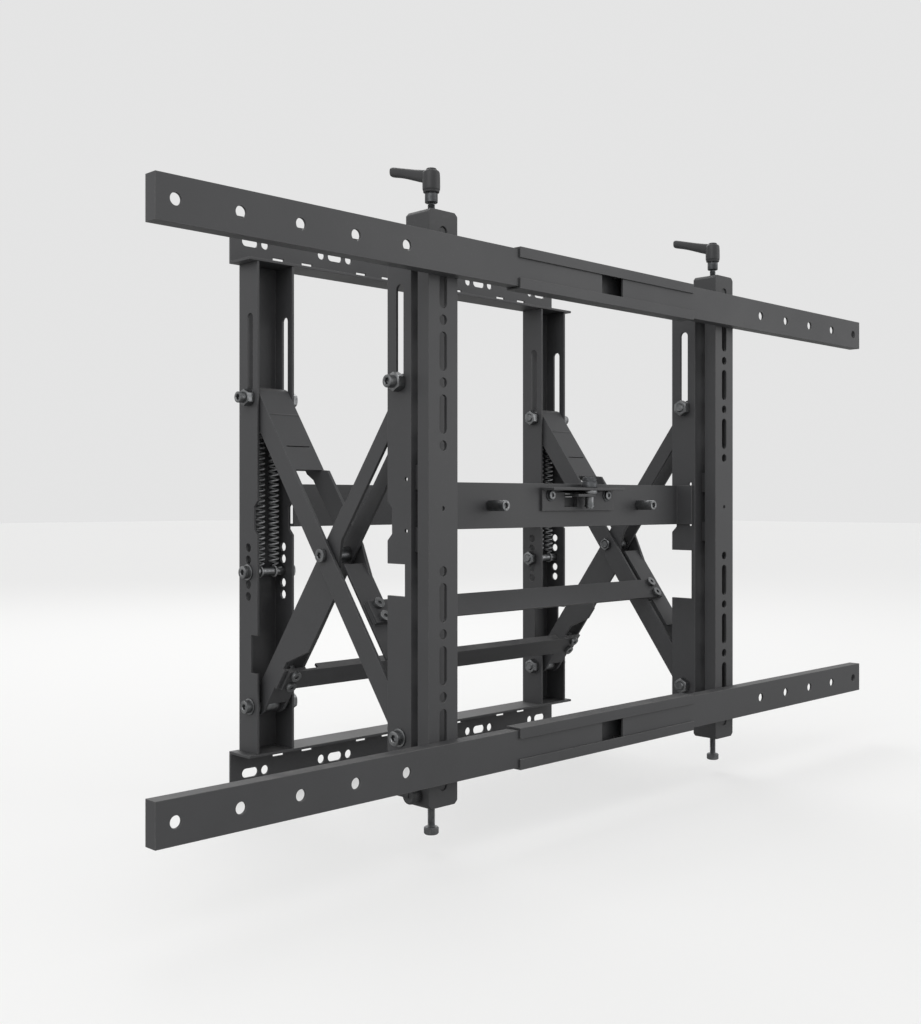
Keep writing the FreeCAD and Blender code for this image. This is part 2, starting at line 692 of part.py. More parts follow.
def pivot_pin(node, at, pair_width, gap_face):
    """A fixed pin through both flanges of an upright, on which an arm's low end turns."""
    washer_out, washer_in = f"({OUTER_FACE}) - washer_gauge", f"({INNER_FACE}) + washer_gauge"
    end = f"{washer_in} + nut_height + pin_over"
    shaft = bolt(f"{node}_bolt", at, washer_out, end, "head_bore", "head_length")
    near, far = f"({MID}) - {pair_width} / 2", f"({MID}) + {pair_width} / 2"
    rings = [
        ring(f"{node}_washer_out", at, washer_out, OUTER_FACE, "washer_bore"),
        ring(f"{node}_washer_in", at, INNER_FACE, washer_in, "washer_bore"),
        ring(f"{node}_nut_in", at, washer_in, f"{washer_in} + nut_height", "nut_bore", True),
    ]
    sleeves = [
        ring(f"{node}_sleeve_out", at, f"({OUTER_FACE}) + sheet_gauge", f"{near} - slot_play", gap_face),
        ring(f"{node}_sleeve_mid", at, f"{near} + arm_gauge + slot_play", f"{far} - arm_gauge - slot_play",
             gap_face),
        ring(f"{node}_sleeve_in", at, f"{far} + slot_play", f"({INNER_FACE}) - sheet_gauge", gap_face),
    ]
    both_in_one([shaft], f"{node}_bolts")
    both_in_one(rings, f"{node}_nuts")
    both_in_one(sleeves, f"{node}_sleeves")


def crossing_pin():
    """The pin on which the two arms of one scissor cross."""
    at = (CROSS_DEPTH, CROSS_HEIGHT)
    outer_near, outer_far = f"({MID}) - outer_pair_width / 2", f"({MID}) + outer_pair_width / 2"
    inner_near, inner_far = f"({MID}) - inner_pair_width / 2", f"({MID}) + inner_pair_width / 2"
    under, over = f"{outer_near} - slot_play", f"{outer_far} + slot_play"
    shaft = bolt("crossing_bolt", at, under, f"{over} + thin_nut_height", "head_bore", "thin_head_length")
    rings = [
        ring("crossing_nut", at, over, f"{over} + thin_nut_height", "thin_nut_bore", True),
        ring("crossing_spacer_near", at, f"{outer_near} + arm_gauge + slot_play", inner_near, "washer_bore"),
        ring("crossing_spacer_mid", at, f"{inner_near} + arm_gauge", f"{inner_far} - arm_gauge",
             "seat_sleeve_bore"),
        ring("crossing_spacer_far", at, inner_far, f"{outer_far} - arm_gauge - slot_play", "washer_bore"),
    ]
    both_in_one([shaft], "crossing_bolts")
    both_in_one(rings, "crossing_nuts")


def anchor_pin():
    """The pin across a wall upright that holds the springs' lower ends."""
    at = ("-anchor_depth", "-anchor_drop")
    washer_out, washer_in = f"({OUTER_FACE}) - washer_gauge", f"({INNER_FACE}) + washer_gauge"
    shaft = bolt("spring_anchor_bolt", at, washer_out, f"{washer_in} + nut_height + pin_over", "head_bore",
                 "head_length")
    rings = [
        ring("spring_anchor_washer_out", at, washer_out, OUTER_FACE, "washer_bore"),
        ring("spring_anchor_washer_in", at, INNER_FACE, washer_in, "washer_bore"),
        ring("spring_anchor_nut", at, washer_in, f"{washer_in} + nut_height", "nut_bore", True),
    ]
    both_in_one([shaft], "spring_anchor_bolts")
    both_in_one(rings, "spring_anchor_nuts")


bar_front = "-sheet_gauge - upright_depth"
catch_window = block("catch_window", ("latch_window_left + latch_side_gap - latch_nib - catch_window_play",
                                      "latch_window_right"),
                     (bar_front, f"{bar_front} + sheet_gauge"), ("latch_window_low", "latch_window_top"))
finish(cut("wall_crossbar_cut", crossbar("wall_crossbar", bar_front, "crossbar_depth"), [catch_window]),
       "wall_crossbar")
for side, middle in (("left", MID), ("right", f"-({MID})")):
    outer_arm(side, middle)
    inner_arm(side, middle)
strip("outer_arm_strip", f"({MID}) - front_tab_reach", "front_strip_rise", f"({MID}) + front_screw_shift",
      "2 * sheet_gauge", -1)
strip("inner_arm_strip", f"({MID}) - rear_strip_reach", "rear_strip_rise", MID, "sheet_gauge", 1)
slide_pin("rear_slide", (REAR_AXIS, TOP_PIN), "outer_pair_width", "washer_bore", "seat_sleeve_bore")
slide_pin("front_slide", (FRONT_AXIS, TOP_PIN), "inner_pair_width", "seat_sleeve_bore", "seat_sleeve_bore")
pivot_pin("rear_pivot", (REAR_AXIS, LOW_PIN), "inner_pair_width", "seat_sleeve_bore")
pivot_pin("front_pivot", (FRONT_AXIS, LOW_PIN), "outer_pair_width", "washer_bore")
crossing_pin()
anchor_pin()


FRONT_FACE = f"({FRONT_AXIS}) - front_axis_setback"
REAR_EDGE = f"({FRONT_FACE}) + front_upright_depth"
BAR_FACE = f"({REAR_EDGE}) - front_bar_depth"
ARM_MID = "-arm_spacing / 2"
ARM_BACK = f"({FRONT_FACE}) - arm_standoff"
ARM_FACE = f"({FRONT_FACE}) - arm_standoff - arm_depth"
STUD_DEPTH = f"({FRONT_FACE}) - stud_setback"
ARM_END = "rail_spacing / 2 + rail_height / 2 + head_rest"
UPRIGHT_END = f"({ARM_END} - upright_setback)"


def front_upright():
    """A channel open to the rear, pinned to the outer arms and slotted for the inner arms' top pins."""
    half = UPRIGHT_END
    holes = [(FRONT_AXIS, LOW_PIN, PIN_HOLE)]
    for height in ("small_hole_top", "small_hole_low"):
        holes.append((f"({FRONT_FACE}) + small_hole_inset", height, "small_hole_bore"))
    sides = (("outer", OUTER_FACE, "bolt_notch_low", "bolt_notch_depth"),
             ("inner", f"{INNER_FACE} - sheet_gauge", "arm_notch_low", "arm_notch_depth"))
    for side, low, notch_low, notch_depth in sides:
        outline = [
            (FRONT_FACE, f"-{half}"), (FRONT_FACE, half), (REAR_EDGE, half), (REAR_EDGE, "recess_top"),
            (f"{REAR_EDGE} - recess_depth", "recess_top - recess_depth"),
            (f"{REAR_EDGE} - recess_depth", "recess_low + recess_depth"), (REAR_EDGE, "recess_low"),
            (REAR_EDGE, "-notch_top"), (f"{REAR_EDGE} - {notch_depth}", "-notch_top"),
            (f"{REAR_EDGE} - {notch_depth}", f"-{notch_low}"), (REAR_EDGE, f"-{notch_low}"),
            (REAR_EDGE, f"-{half}"),
        ]
        flange = profile(f"front_flange_{side}", "x", outline, low, "sheet_gauge", holes)
        pin_slot = rear_slot(f"front_pin_slot_{side}", low, FRONT_AXIS)
        yield cut(f"front_flange_{side}_cut", flange, [pin_slot])
    web = block("front_upright_web", (OUTER_FACE, INNER_FACE), (FRONT_FACE, f"{FRONT_FACE} + sheet_gauge"),
                (f"-{half}", half))
    cutters = column_cutters("front_web", f"({MID}) - web_column_shift", FRONT_FACE)
    yield cut("front_upright_web_cut", web, cutters)
    tab_span = (f"{ARM_MID} - hanger_tab_width / 2", f"{ARM_MID} + hanger_tab_width / 2")
    for word, low in (("top", f"{half} - sheet_gauge"), ("low", f"-{half}")):
        yield block(f"hanger_tab_{word}", tab_span,
                    (f"{FRONT_FACE} - hanger_tab_reach", f"{FRONT_FACE} + sheet_gauge"),
                    (low, f"{low} + sheet_gauge"))


def column_cutters(name, across, face):
    """The holes and slots that alternate up a column, half a pitch apart, as many as the uprights hold."""
    reach = (size("rail_spacing") + size("rail_height")) / 2 + size("head_rest") - size("upright_setback")
    steps = int((reach - size("arm_slot_length") / 2) / size("screen_hole_pitch") - 0.5)
    tools = []
    for sign, side in (("-", "low"), ("", "top")):
        for step in range(1, steps + 1):
            height = f"{sign} {step} * screen_hole_pitch"
            tools.append(rod(f"{name}_hole_{side}_{step}", "y", (across, face, height), "arm_hole_bore",
                             "sheet_gauge"))
            middle = f"{sign} ({step} + 0.5) * screen_hole_pitch"
            tools.append(slot(f"{name}_slot_{side}_{step}", "y", (across, face, middle), "z",
                              "arm_slot_length", "arm_hole_bore", "sheet_gauge"))
    return tools


def front_crossbar():
    """The channel that ties the front uprights, with a window for the latch and a tab at each end."""
    low, high = "crossbar_lift - crossbar_height / 2", "crossbar_lift + crossbar_height / 2"
    bar = crossbar("front_crossbar", BAR_FACE, "front_bar_depth")
    tabs = []
    for word, inner in (("left", f"{INNER_FACE}"), ("right", f"-({INNER_FACE}) - sheet_gauge")):
        tabs.append(block(f"front_bar_tab_{word}", (inner, f"{inner} + sheet_gauge"),
                          (f"{FRONT_FACE} + sheet_gauge", f"{BAR_FACE} + sheet_gauge"), (low, high)))
    window = block("latch_window", ("latch_window_left", "latch_window_right"),
                   (BAR_FACE, f"{BAR_FACE} + sheet_gauge"), ("latch_window_low", "latch_window_top"))
    screws = [rod(f"latch_screw_hole_{word}", "y", (across, BAR_FACE, "latch_screw_height"),
                  "latch_screw_bore + 2 * pin_play", "sheet_gauge")
              for word, across in (("left", "latch_screw_left"), ("right", "latch_screw_right"))]
    finish(cut("front_crossbar_cut", fuse("front_crossbar_whole", [bar] + tabs), [window] + screws),
           "front_crossbar")
    studs = []
    for word, across in (("left", "-stud_spacing / 2"), ("right", "stud_spacing / 2")):
        tip = (across, f"{BAR_FACE} - stud_reach", "crossbar_lift")
        stud = rod(f"crossbar_stud_{word}", "y", tip, "stud_bore", "stud_reach")
        hollow = nut(f"crossbar_stud_socket_{word}", "y", tip, "socket_bore", "socket_depth")
        studs.append(cut(f"crossbar_stud_{word}_cut", stud, [hollow]))
    finish(group("crossbar_studs_group", studs), "crossbar_studs")


def latch():
    """The push latch: a bracket on the crossbar, a pivot bolt and a hook that reaches through the window."""
    plate_face = f"({BAR_FACE}) - latch_gauge"
    upright = block("latch_face", ("latch_plate_left", "latch_plate_right"), (plate_face, BAR_FACE),
                    ("latch_plate_low", "latch_shelf_height"))
    shelf = block("latch_shelf", ("latch_plate_left", "latch_plate_right"),
                  (f"{plate_face} - latch_shelf_reach", BAR_FACE),
                  ("latch_shelf_height - latch_gauge", "latch_shelf_height"))
    window = block("latch_face_window", ("latch_window_left", "latch_window_right"), (plate_face, BAR_FACE),
                   ("latch_window_low", "latch_window_top"))
    pivot_depth = f"({BAR_FACE}) - latch_pivot_setback"
    shelf_low = "latch_shelf_height - latch_gauge"
    hole = rod("latch_pivot_hole", "z", ("latch_pivot_across", pivot_depth, shelf_low),
               "latch_pivot_bore + 2 * pin_play", "latch_gauge")
    screw_holes = [rod(f"latch_face_hole_{word}", "y", (across, plate_face, "latch_screw_height"),
                       "latch_screw_bore + 2 * pin_play", "latch_gauge")
                   for word, across in (("left", "latch_screw_left"), ("right", "latch_screw_right"))]
    bracket = fuse("latch_bracket_fold", [upright, shelf])
    finish(cut("latch_bracket_cut", bracket, [window, hole] + screw_holes), "latch_bracket")
    screws = []
    for word, across in (("left", "latch_screw_left"), ("right", "latch_screw_right")):
        at_head = (across, f"{plate_face} - latch_head_height", "latch_screw_height")
        head = rod(f"latch_screw_{word}_head", "y", at_head, "latch_head_bore", "latch_head_height")
        shaft = rod(f"latch_screw_{word}_shaft", "y", (across, plate_face, "latch_screw_height"),
                    "latch_screw_bore", "latch_gauge + sheet_gauge + latch_screw_over")
        socket = nut(f"latch_screw_{word}_socket", "y", at_head, "strip_socket_bore", "strip_socket_depth")
        screws.append(cut(f"latch_screw_{word}", fuse(f"latch_screw_{word}_whole", [head, shaft]), [socket]))
    pivot = ("latch_pivot_across", pivot_depth)
    shelf_low = "latch_shelf_height - latch_gauge"
    hook_top = f"{shelf_low} - latch_drop - fit_gap"
    hook_low = f"{hook_top} - latch_gauge"
    arm_right = "latch_window_right - latch_side_gap"
    arm_left = "latch_window_left + latch_side_gap"
    tip = f"({REAR_EDGE}) + latch_tip_reach"
    catch = f"{tip} - latch_nib_length"
    outline = [
        ("latch_pivot_across", f"{pivot_depth} - latch_boss_radius"),
        ("latch_pivot_across", f"{pivot_depth} + latch_boss_radius"),
        (arm_right, f"{plate_face} - fit_gap"),
        (arm_right, tip),
        (arm_left, tip),
        (f"{arm_left} - latch_nib", f"{catch} + latch_nib_flat"),
        (f"{arm_left} - latch_nib", catch),
        (arm_left, catch),
        (arm_left, f"{pivot_depth} - latch_boss_radius"),
    ]
    flat = profile("latch_hook_flat", "z", outline, hook_low, "latch_gauge")
    boss = rod("latch_hook_boss", "z", (*pivot, hook_low), "2 * latch_boss_radius", "latch_gauge")
    bore = rod("latch_hook_bore", "z", (*pivot, hook_low), "latch_pivot_bore + 2 * pin_play", "latch_gauge")
    finish(cut("latch_hook_cut", fuse("latch_hook_whole", [flat, boss]), [bore]), "latch_hook")
    head = rod("latch_pivot_head", "z", (*pivot, "latch_shelf_height"), "latch_cap_bore", "latch_cap_height")
    shaft_low = f"{hook_low} - latch_pivot_over"
    shaft = rod("latch_pivot_shaft", "z", (*pivot, shaft_low), "latch_pivot_bore",
                f"latch_shelf_height - ({shaft_low})")
    collar = rod("latch_pivot_collar", "z", (*pivot, f"{shelf_low} - latch_drop"), "latch_collar_bore",
                 "latch_drop")
    washer_low = f"{hook_low} - fit_gap - washer_gauge"
    washer = rod("latch_pivot_washer", "z", (*pivot, washer_low), "washer_bore", "washer_gauge")
    back = nut("latch_pivot_nut", "z", (*pivot, f"{washer_low} - nut_height"), "latch_nut_bore", "nut_height")
    pivot_bolt = fuse("latch_pivot_whole", [head, shaft, collar, washer, back])
    finish(group("latch_fasteners_group", screws + [pivot_bolt]), "latch_fasteners")


def glide_pads():
    """Plastic blocks on the front uprights that guide the screen arms up and down."""
    half = "arm_width / 2 - sheet_gauge - pad_play"
    pads = [block(f"glide_pad_{word}", (f"{ARM_MID} - ({half})", f"{ARM_MID} + {half}"),
                  (f"{ARM_FACE} + sheet_gauge + pad_play", FRONT_FACE), (low, top))
            for word, low, top in (("top", "pad_low", "pad_top"), ("low", "-pad_top", "-pad_low"))]
    both_in_one(pads, "glide_pads")


def screen_arm():
    """The upright channel that carries the rails, with a column of holes and slots down its face."""
    low, high = f"{ARM_MID} - arm_width / 2", f"{ARM_MID} + arm_width / 2"
    reach = "rail_spacing / 2 + rail_height / 2 + head_rest"
    span = (f"-({reach})", reach)
    web = block("screen_arm_web", (low, high), (ARM_FACE, f"{ARM_FACE} + sheet_gauge"), span)
    flanges = [block("screen_arm_outer", (low, f"{low} + sheet_gauge"), (ARM_FACE, ARM_BACK), span),
               block("screen_arm_inner", (f"{high} - sheet_gauge", high), (ARM_FACE, ARM_BACK), span)]
    cutters = column_cutters("screen_arm", ARM_MID, ARM_FACE)
    cutters.append(rod("screen_arm_mark", "y", (ARM_MID, ARM_FACE, "0"), "small_hole_bore", "sheet_gauge"))
    for sign, word in (("-", "low"), ("", "top")):
        cutters.append(rod(f"screen_arm_clamp_{word}", "y", (ARM_MID, ARM_FACE, f"{sign} rail_spacing / 2"),
                           "clamp_screw_bore + 2 * pin_play", "sheet_gauge"))
    both(cut("screen_arm_cut", fuse("screen_arm_fold", [web] + flanges), cutters), "screen_arm")


RAIL_BACK = f"({ARM_FACE}) - fit_gap"
RAIL_FACE = f"({ARM_FACE}) - fit_gap - rail_depth"
RAIL_LOW = "rail_spacing / 2 - rail_height / 2"
RAIL_TOP = "rail_spacing / 2 + rail_height / 2"


def end_blocks():
    """The blocks on the ends of the screen arms, each drilled for its adjusting screw."""
    low, high = f"{ARM_MID} - arm_width / 2", f"{ARM_MID} + arm_width / 2"
    top = f"{ARM_END} + head_height"
    outline = [(low, ARM_END), (high, ARM_END), (high, f"{top} - block_chamfer"),
               (f"{high} - block_chamfer", top), (f"{low} + block_chamfer", top),
               (low, f"{top} - block_chamfer")]
    whole = profile("head_block_whole", "y", outline, f"{ARM_FACE} + head_depth", "head_depth")
    screw = rod("head_screw_hole", "z", (ARM_MID, STUD_DEPTH, ARM_END), "lever_stud_bore + 2 * pin_play",
                "head_height")
    mark = rod("head_face_hole", "y", (ARM_MID, ARM_FACE, f"{ARM_END} + face_hole_rise"), "arm_hole_bore",
               "face_hole_depth")
    head = cut("head_block_cut", whole, [screw, mark])
    knob_hole = rod("knob_pin_hole", "x", (low, STUD_DEPTH, KNOB_HEIGHT_UP), "knob_pin_bore + 2 * pin_play",
                    "knob_pin_length + fit_gap")
    foot = mirror("foot_block_mirror", cut("foot_block_cut", head, [knob_hole]), Z_AXIS)
    both_in_one([head], "head_blocks")
    both_in_one([foot], "foot_blocks")


def rail():
    """The top left rail: a channel open to the back with small lips, closed at its outer end."""
    ends = ("-rail_end", "-rail_gap / 2")
    face = (RAIL_FACE, f"{RAIL_FACE} + rail_gauge")
    lips = (f"{RAIL_BACK} - rail_gauge", RAIL_BACK)
    pieces = [
        block("rail_web", ends, face, (RAIL_LOW, RAIL_TOP)),
        block("rail_low", ends, (RAIL_FACE, RAIL_BACK), (RAIL_LOW, f"{RAIL_LOW} + rail_gauge")),
        block("rail_top", ends, (RAIL_FACE, RAIL_BACK), (f"{RAIL_TOP} - rail_gauge", RAIL_TOP)),
        block("rail_lip_low", ends, lips, (RAIL_LOW, f"{RAIL_LOW} + rail_lip")),
        block("rail_lip_top", ends, lips, (f"{RAIL_TOP} - rail_lip", RAIL_TOP)),
        block("rail_cap", ("-rail_end", "-rail_end + rail_gauge"), (RAIL_FACE, RAIL_BACK),
              (RAIL_LOW, RAIL_TOP)),
    ]
    first = int(size("arm_spacing") / 2 / size("screen_hole_pitch")) + 1
    last = int((size("rail_end") - size("screen_hole_bore")) / size("screen_hole_pitch"))
    holes = [rod(f"rail_hole_{step}", "y", (f"-{step} * screen_hole_pitch", RAIL_FACE, "rail_spacing / 2"),
                 "screen_hole_bore", "rail_gauge") for step in range(first, last + 1)]
    left = cut("rail_cut", fuse("rail_fold", pieces), holes)
    both(left, "rail_top")
    both(mirror("rail_low_mirror", left, Z_AXIS), "rail_bottom")


def sleeve():
    """The sleeve around the inner ends of a pair of rails, with lips turned in over their faces."""
    half = "sleeve_length / 2"
    back = f"{RAIL_BACK} + fit_gap + sleeve_gauge"
    front = f"{RAIL_FACE} - fit_gap - sleeve_gauge"
    low, high = f"{RAIL_LOW} - fit_gap - sleeve_gauge", f"{RAIL_TOP} + fit_gap + sleeve_gauge"
    ends = (f"-{half}", half)
    pieces = [
        block("sleeve_back", ends, (f"{back} - sleeve_gauge", back), (low, high)),
        block("sleeve_low", ends, (front, back), (low, f"{low} + sleeve_gauge")),
        block("sleeve_top", ends, (front, back), (f"{high} - sleeve_gauge", high)),
        block("sleeve_lip_low", ends, (front, f"{front} + sleeve_gauge"), (low, f"{low} + sleeve_lip")),
        block("sleeve_lip_top", ends, (front, f"{front} + sleeve_gauge"), (f"{high} - sleeve_lip", high)),
    ]
    top = finish(fuse("sleeve_fold", pieces), "rail_sleeve_top")
    finish(mirror("sleeve_mirror", top, Z_AXIS), "rail_sleeve_bottom")


def rail_clamps():
    """The T blocks inside the rails and the screws that hold them to the screen arms."""
    centre = "rail_spacing / 2"
    across = (f"{ARM_MID} - clamp_width / 2", f"{ARM_MID} + clamp_width / 2")
    lip_front = f"{RAIL_BACK} - rail_gauge"
    grip = f"{lip_front} - fit_gap"
    head = block("clamp_head", across, (f"{grip} - clamp_head_depth", grip),
                 (f"{centre} - clamp_head_height / 2", f"{centre} + clamp_head_height / 2"))
    neck = block("clamp_neck", across, (f"{lip_front} - fit_gap", ARM_FACE),
                 (f"{centre} - clamp_neck_height / 2", f"{centre} + clamp_neck_height / 2"))
    hole = rod("clamp_hole", "y", (ARM_MID, f"{lip_front} - fit_gap - clamp_head_depth", centre),
               "clamp_screw_bore + 2 * pin_play", f"{ARM_FACE} - ({lip_front} - fit_gap - clamp_head_depth)")
    top = cut("clamp_top", fuse("clamp_whole", [head, neck]), [hole])
    both_in_one([top, mirror("clamp_low", top, Z_AXIS)], "rail_clamps")
    inner_face = f"({ARM_FACE}) + sheet_gauge"
    cap = rod("clamp_screw_head", "y", (ARM_MID, inner_face, centre), "clamp_cap_bore", "clamp_cap_height")
    start = f"{lip_front} - fit_gap - clamp_head_depth"
    shaft = rod("clamp_screw_shaft", "y", (ARM_MID, start, centre), "clamp_screw_bore",
                f"{inner_face} - ({start})")
    screw = fuse("clamp_screw_top", [cap, shaft])
    both_in_one([screw, mirror("clamp_screw_low", screw, Z_AXIS)], "rail_clamp_screws")


def clamp_lever():
    """The lever on each head block: a threaded stud, a steel collar and a hub with its handle to the wall."""
    tab_top = UPRIGHT_END
    block_top = f"{ARM_END} + head_height"
    collar_low = f"{block_top} + lever_stud_rise"
    hub_low = f"{collar_low} + lever_collar_height"
    stud = rod("lever_stud_shaft", "z", (ARM_MID, STUD_DEPTH, f"{tab_top} + fit_gap"), "lever_stud_bore",
               f"{collar_low} - ({tab_top} + fit_gap)")
    collar = rod("lever_collar", "z", (ARM_MID, STUD_DEPTH, collar_low), "lever_collar_bore",
                 "lever_collar_height")
    both(fuse("lever_stud_whole", [stud, collar]), "lever_stud")
    hub = rod("lever_hub", "z", (ARM_MID, STUD_DEPTH, hub_low), "lever_hub_bore", "lever_hub_height")
    bar = block("lever_bar", ("-lever_thickness / 2", "lever_thickness / 2"), ("0", "lever_reach"),
                ("-lever_bar_height", "0"))
    end = rod("lever_bar_end", "x", ("-lever_thickness / 2", "lever_reach", "-lever_bar_height / 2"),
              "lever_bar_height", "lever_thickness")
    handle = fuse("lever_handle", [bar, end])
    handle.Placement = FreeCAD.Placement(FreeCAD.Vector(0, 0, 0), FreeCAD.Rotation(X_AXIS, 17))
    bind(handle, "Placement.Rotation.Angle", "lever_rise_angle * 1 deg")
    place(handle, (ARM_MID, STUD_DEPTH, f"{hub_low} + lever_hub_height - lever_handle_drop"))
    both(fuse("clamp_lever_whole", [hub, handle]), "clamp_lever")


def thumb_screw():
    """The screw under each foot block, turned by a knurled head, that stops the arm from lifting."""
    block_low = f"-({ARM_END}) - head_height"
    tip = f"-{UPRIGHT_END} - fit_gap - lift_travel"
    shaft_low = f"{block_low} - thumb_drop"
    shaft = rod("thumb_shaft", "z", (ARM_MID, STUD_DEPTH, shaft_low), "lever_stud_bore",
                f"{tip} - ({shaft_low})")
    head = rod("thumb_head", "z", (ARM_MID, STUD_DEPTH, f"{shaft_low} - thumb_head_height"),
               "thumb_head_bore", "thumb_head_height")
    both(fuse("thumb_screw_whole", [shaft, head]), "thumb_screw")


KNOB_HEIGHT_UP = f"{ARM_END} + head_height / 2"


def side_knob():
    """The clamp knob on the outer side of each foot block, with a short bar that points to the wall."""
    height = f"-({KNOB_HEIGHT_UP})"
    face = f"{ARM_MID} - arm_width / 2 - fit_gap"
    disc = rod("knob_disc", "x", (f"{face} - knob_length", STUD_DEPTH, height), "knob_bore", "knob_length")
    pin = rod("knob_pin", "x", (face, STUD_DEPTH, height), "knob_pin_bore", "knob_pin_length")
    bar = block("knob_bar", (f"{face} - knob_length", f"{face} - knob_length + knob_bar_gauge"),
                (STUD_DEPTH, f"{STUD_DEPTH} + knob_bar_reach"),
                (f"{height} - knob_bar_height / 2", f"{height} + knob_bar_height / 2"))
    both(fuse("side_knob_whole", [disc, pin, bar]), "side_knob")


def biarc(start, leave, end, arrive):
    """Two arcs that join two points and meet both directions, as edges."""
    span = end - start
    total = leave + arrive
    square = 2 * (1 - leave.dot(arrive))
    linear = 2 * span.dot(total)
    reach = (-linear + math.sqrt(linear ** 2 + 4 * square * span.dot(span))) / (2 * square)
    first, second = start + leave * reach, end - arrive * reach
    joint = (first + second) * 0.5
    return [corner_arc(start, first, joint), corner_arc(joint, second, end)]


def corner_arc(start, corner, end):
    """The arc that leaves `start` towards `corner` and reaches `end` from it."""
    middle = (start + end) * 0.5
    half_chord = (end - start).Length / 2
    side = (corner - start).Length
    height = (corner - middle).Length
    radius = half_chord * side / height
    crown = middle + (corner - middle) * (radius * (1 - half_chord / side) / height)
    return Part.Arc(start, crown, end).toShape()


def springs():
    """Two extension springs in each wall upright, from the anchor pin up to the sliding pin."""
    wire, width, turns = size("spring_wire"), size("spring_width"), int(size("spring_turns"))
    radius = (width - wire) / 2
    depth = -size("anchor_depth")
    low_stop = -size("anchor_drop") + size("pin_bore") / 2 + size("fit_gap")
    drawn_height = math.sqrt(size("arm_length") ** 2 - size("drawn_reach") ** 2)
    pin_height = -size("low_pin_drop") + drawn_height
    sleeve_radius = size("seat_sleeve_bore") / 2
    setback = size("rear_axis_depth") - size("anchor_depth")
    near = max(abs(setback) - wire / 2, 0)
    top_stop = pin_height - math.sqrt(sleeve_radius ** 2 - near ** 2) - size("fit_gap")
    low, high = low_stop + 2 * wire, top_stop - 2 * wire
    pitch = (high - low) / turns
    slope = FreeCAD.Vector(0, 2 * math.pi * radius, pitch)
    centre = -size("upright_spacing") / 2

    def point(quarter, across):
        angle = quarter * math.pi / 2
        return FreeCAD.Vector(across + radius * math.cos(angle), depth + radius * math.sin(angle),
                              low + pitch * quarter / 4)

    def heading(quarter):
        angle = quarter * math.pi / 2
        flat = FreeCAD.Vector(-math.sin(angle), math.cos(angle), 0) * slope.y
        return (flat + FreeCAD.Vector(0, 0, pitch)).normalize()

    coils = []
    for shift in (-size("spring_spacing") / 2, size("spring_spacing") / 2):
        across = centre + shift
        edges = []
        for quarter in range(4 * turns):
            edges += biarc(point(quarter, across), heading(quarter), point(quarter + 1, across),
                           heading(quarter + 1))
        first, last = point(0, across), point(4 * turns, across)
        foot = first - Z_AXIS * 2 * wire
        crown = last + Z_AXIS * 2 * wire
        lead_in = biarc(foot + Z_AXIS * wire, Z_AXIS, first, heading(0))
        lead_out = biarc(last, heading(4 * turns), crown - Z_AXIS * wire, Z_AXIS)
        run_in = Part.makeLine(foot, foot + Z_AXIS * wire)
        run_out = Part.makeLine(crown - Z_AXIS * wire, crown)
        path = Part.Wire([run_in] + lead_in + edges + lead_out + [run_out])
        ring_shape = Part.Wire([Part.makeCircle(wire / 2, foot, Z_AXIS)])
        coils.append(path.makePipeShell([ring_shape], True, False))
    points = [point(step / 8, 0.0) for step in range(32 * turns + 1)]
    gap = min((a - b).Length for i, a in enumerate(points) for b in points[i + 16:i + 48]) - wire
    print("spring: turns", turns, "pitch", round(pitch, 2), "least gap", round(gap, 2))
    pair = doc.addObject("Part::Feature", "springs_pair")
    pair.Shape = Part.makeCompound(coils)
    both(pair, "springs")


def build_front():
    both(fuse("front_upright", list(front_upright())), "front_upright")
    front_crossbar()
    latch()
    glide_pads()
    screen_arm()
    end_blocks()
    rail()
    sleeve()
    rail_clamps()
    clamp_lever()
    thumb_screw()
    side_knob()


build_front()
springs()


doc.recompute()
os.makedirs("parts", exist_ok=True)
for item in doc.Objects:
    if {"Invalid", "Error"} & set(item.State):
        raise RuntimeError(f"{item.Name} failed: {item.State}")
for node, item in finished:
    if item.Shape.isNull() or not item.Shape.isValid():
        raise RuntimeError(f"{node} has no valid shape")
    item.Shape.exportStep(f"parts/{node}.step")
    print(node, len(item.Shape.Solids), round(item.Shape.Volume), item.Shape.BoundBox)
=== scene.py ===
"""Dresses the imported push-pull wall mount: finishes, rounded sheet metal, fasteners, springs and levers."""

from __future__ import annotations

import json
import logging
import math
from dataclasses import dataclass, field
from enum import Enum
from typing import Callable, Sequence

import bmesh
import bpy
from mathutils import Matrix, Vector

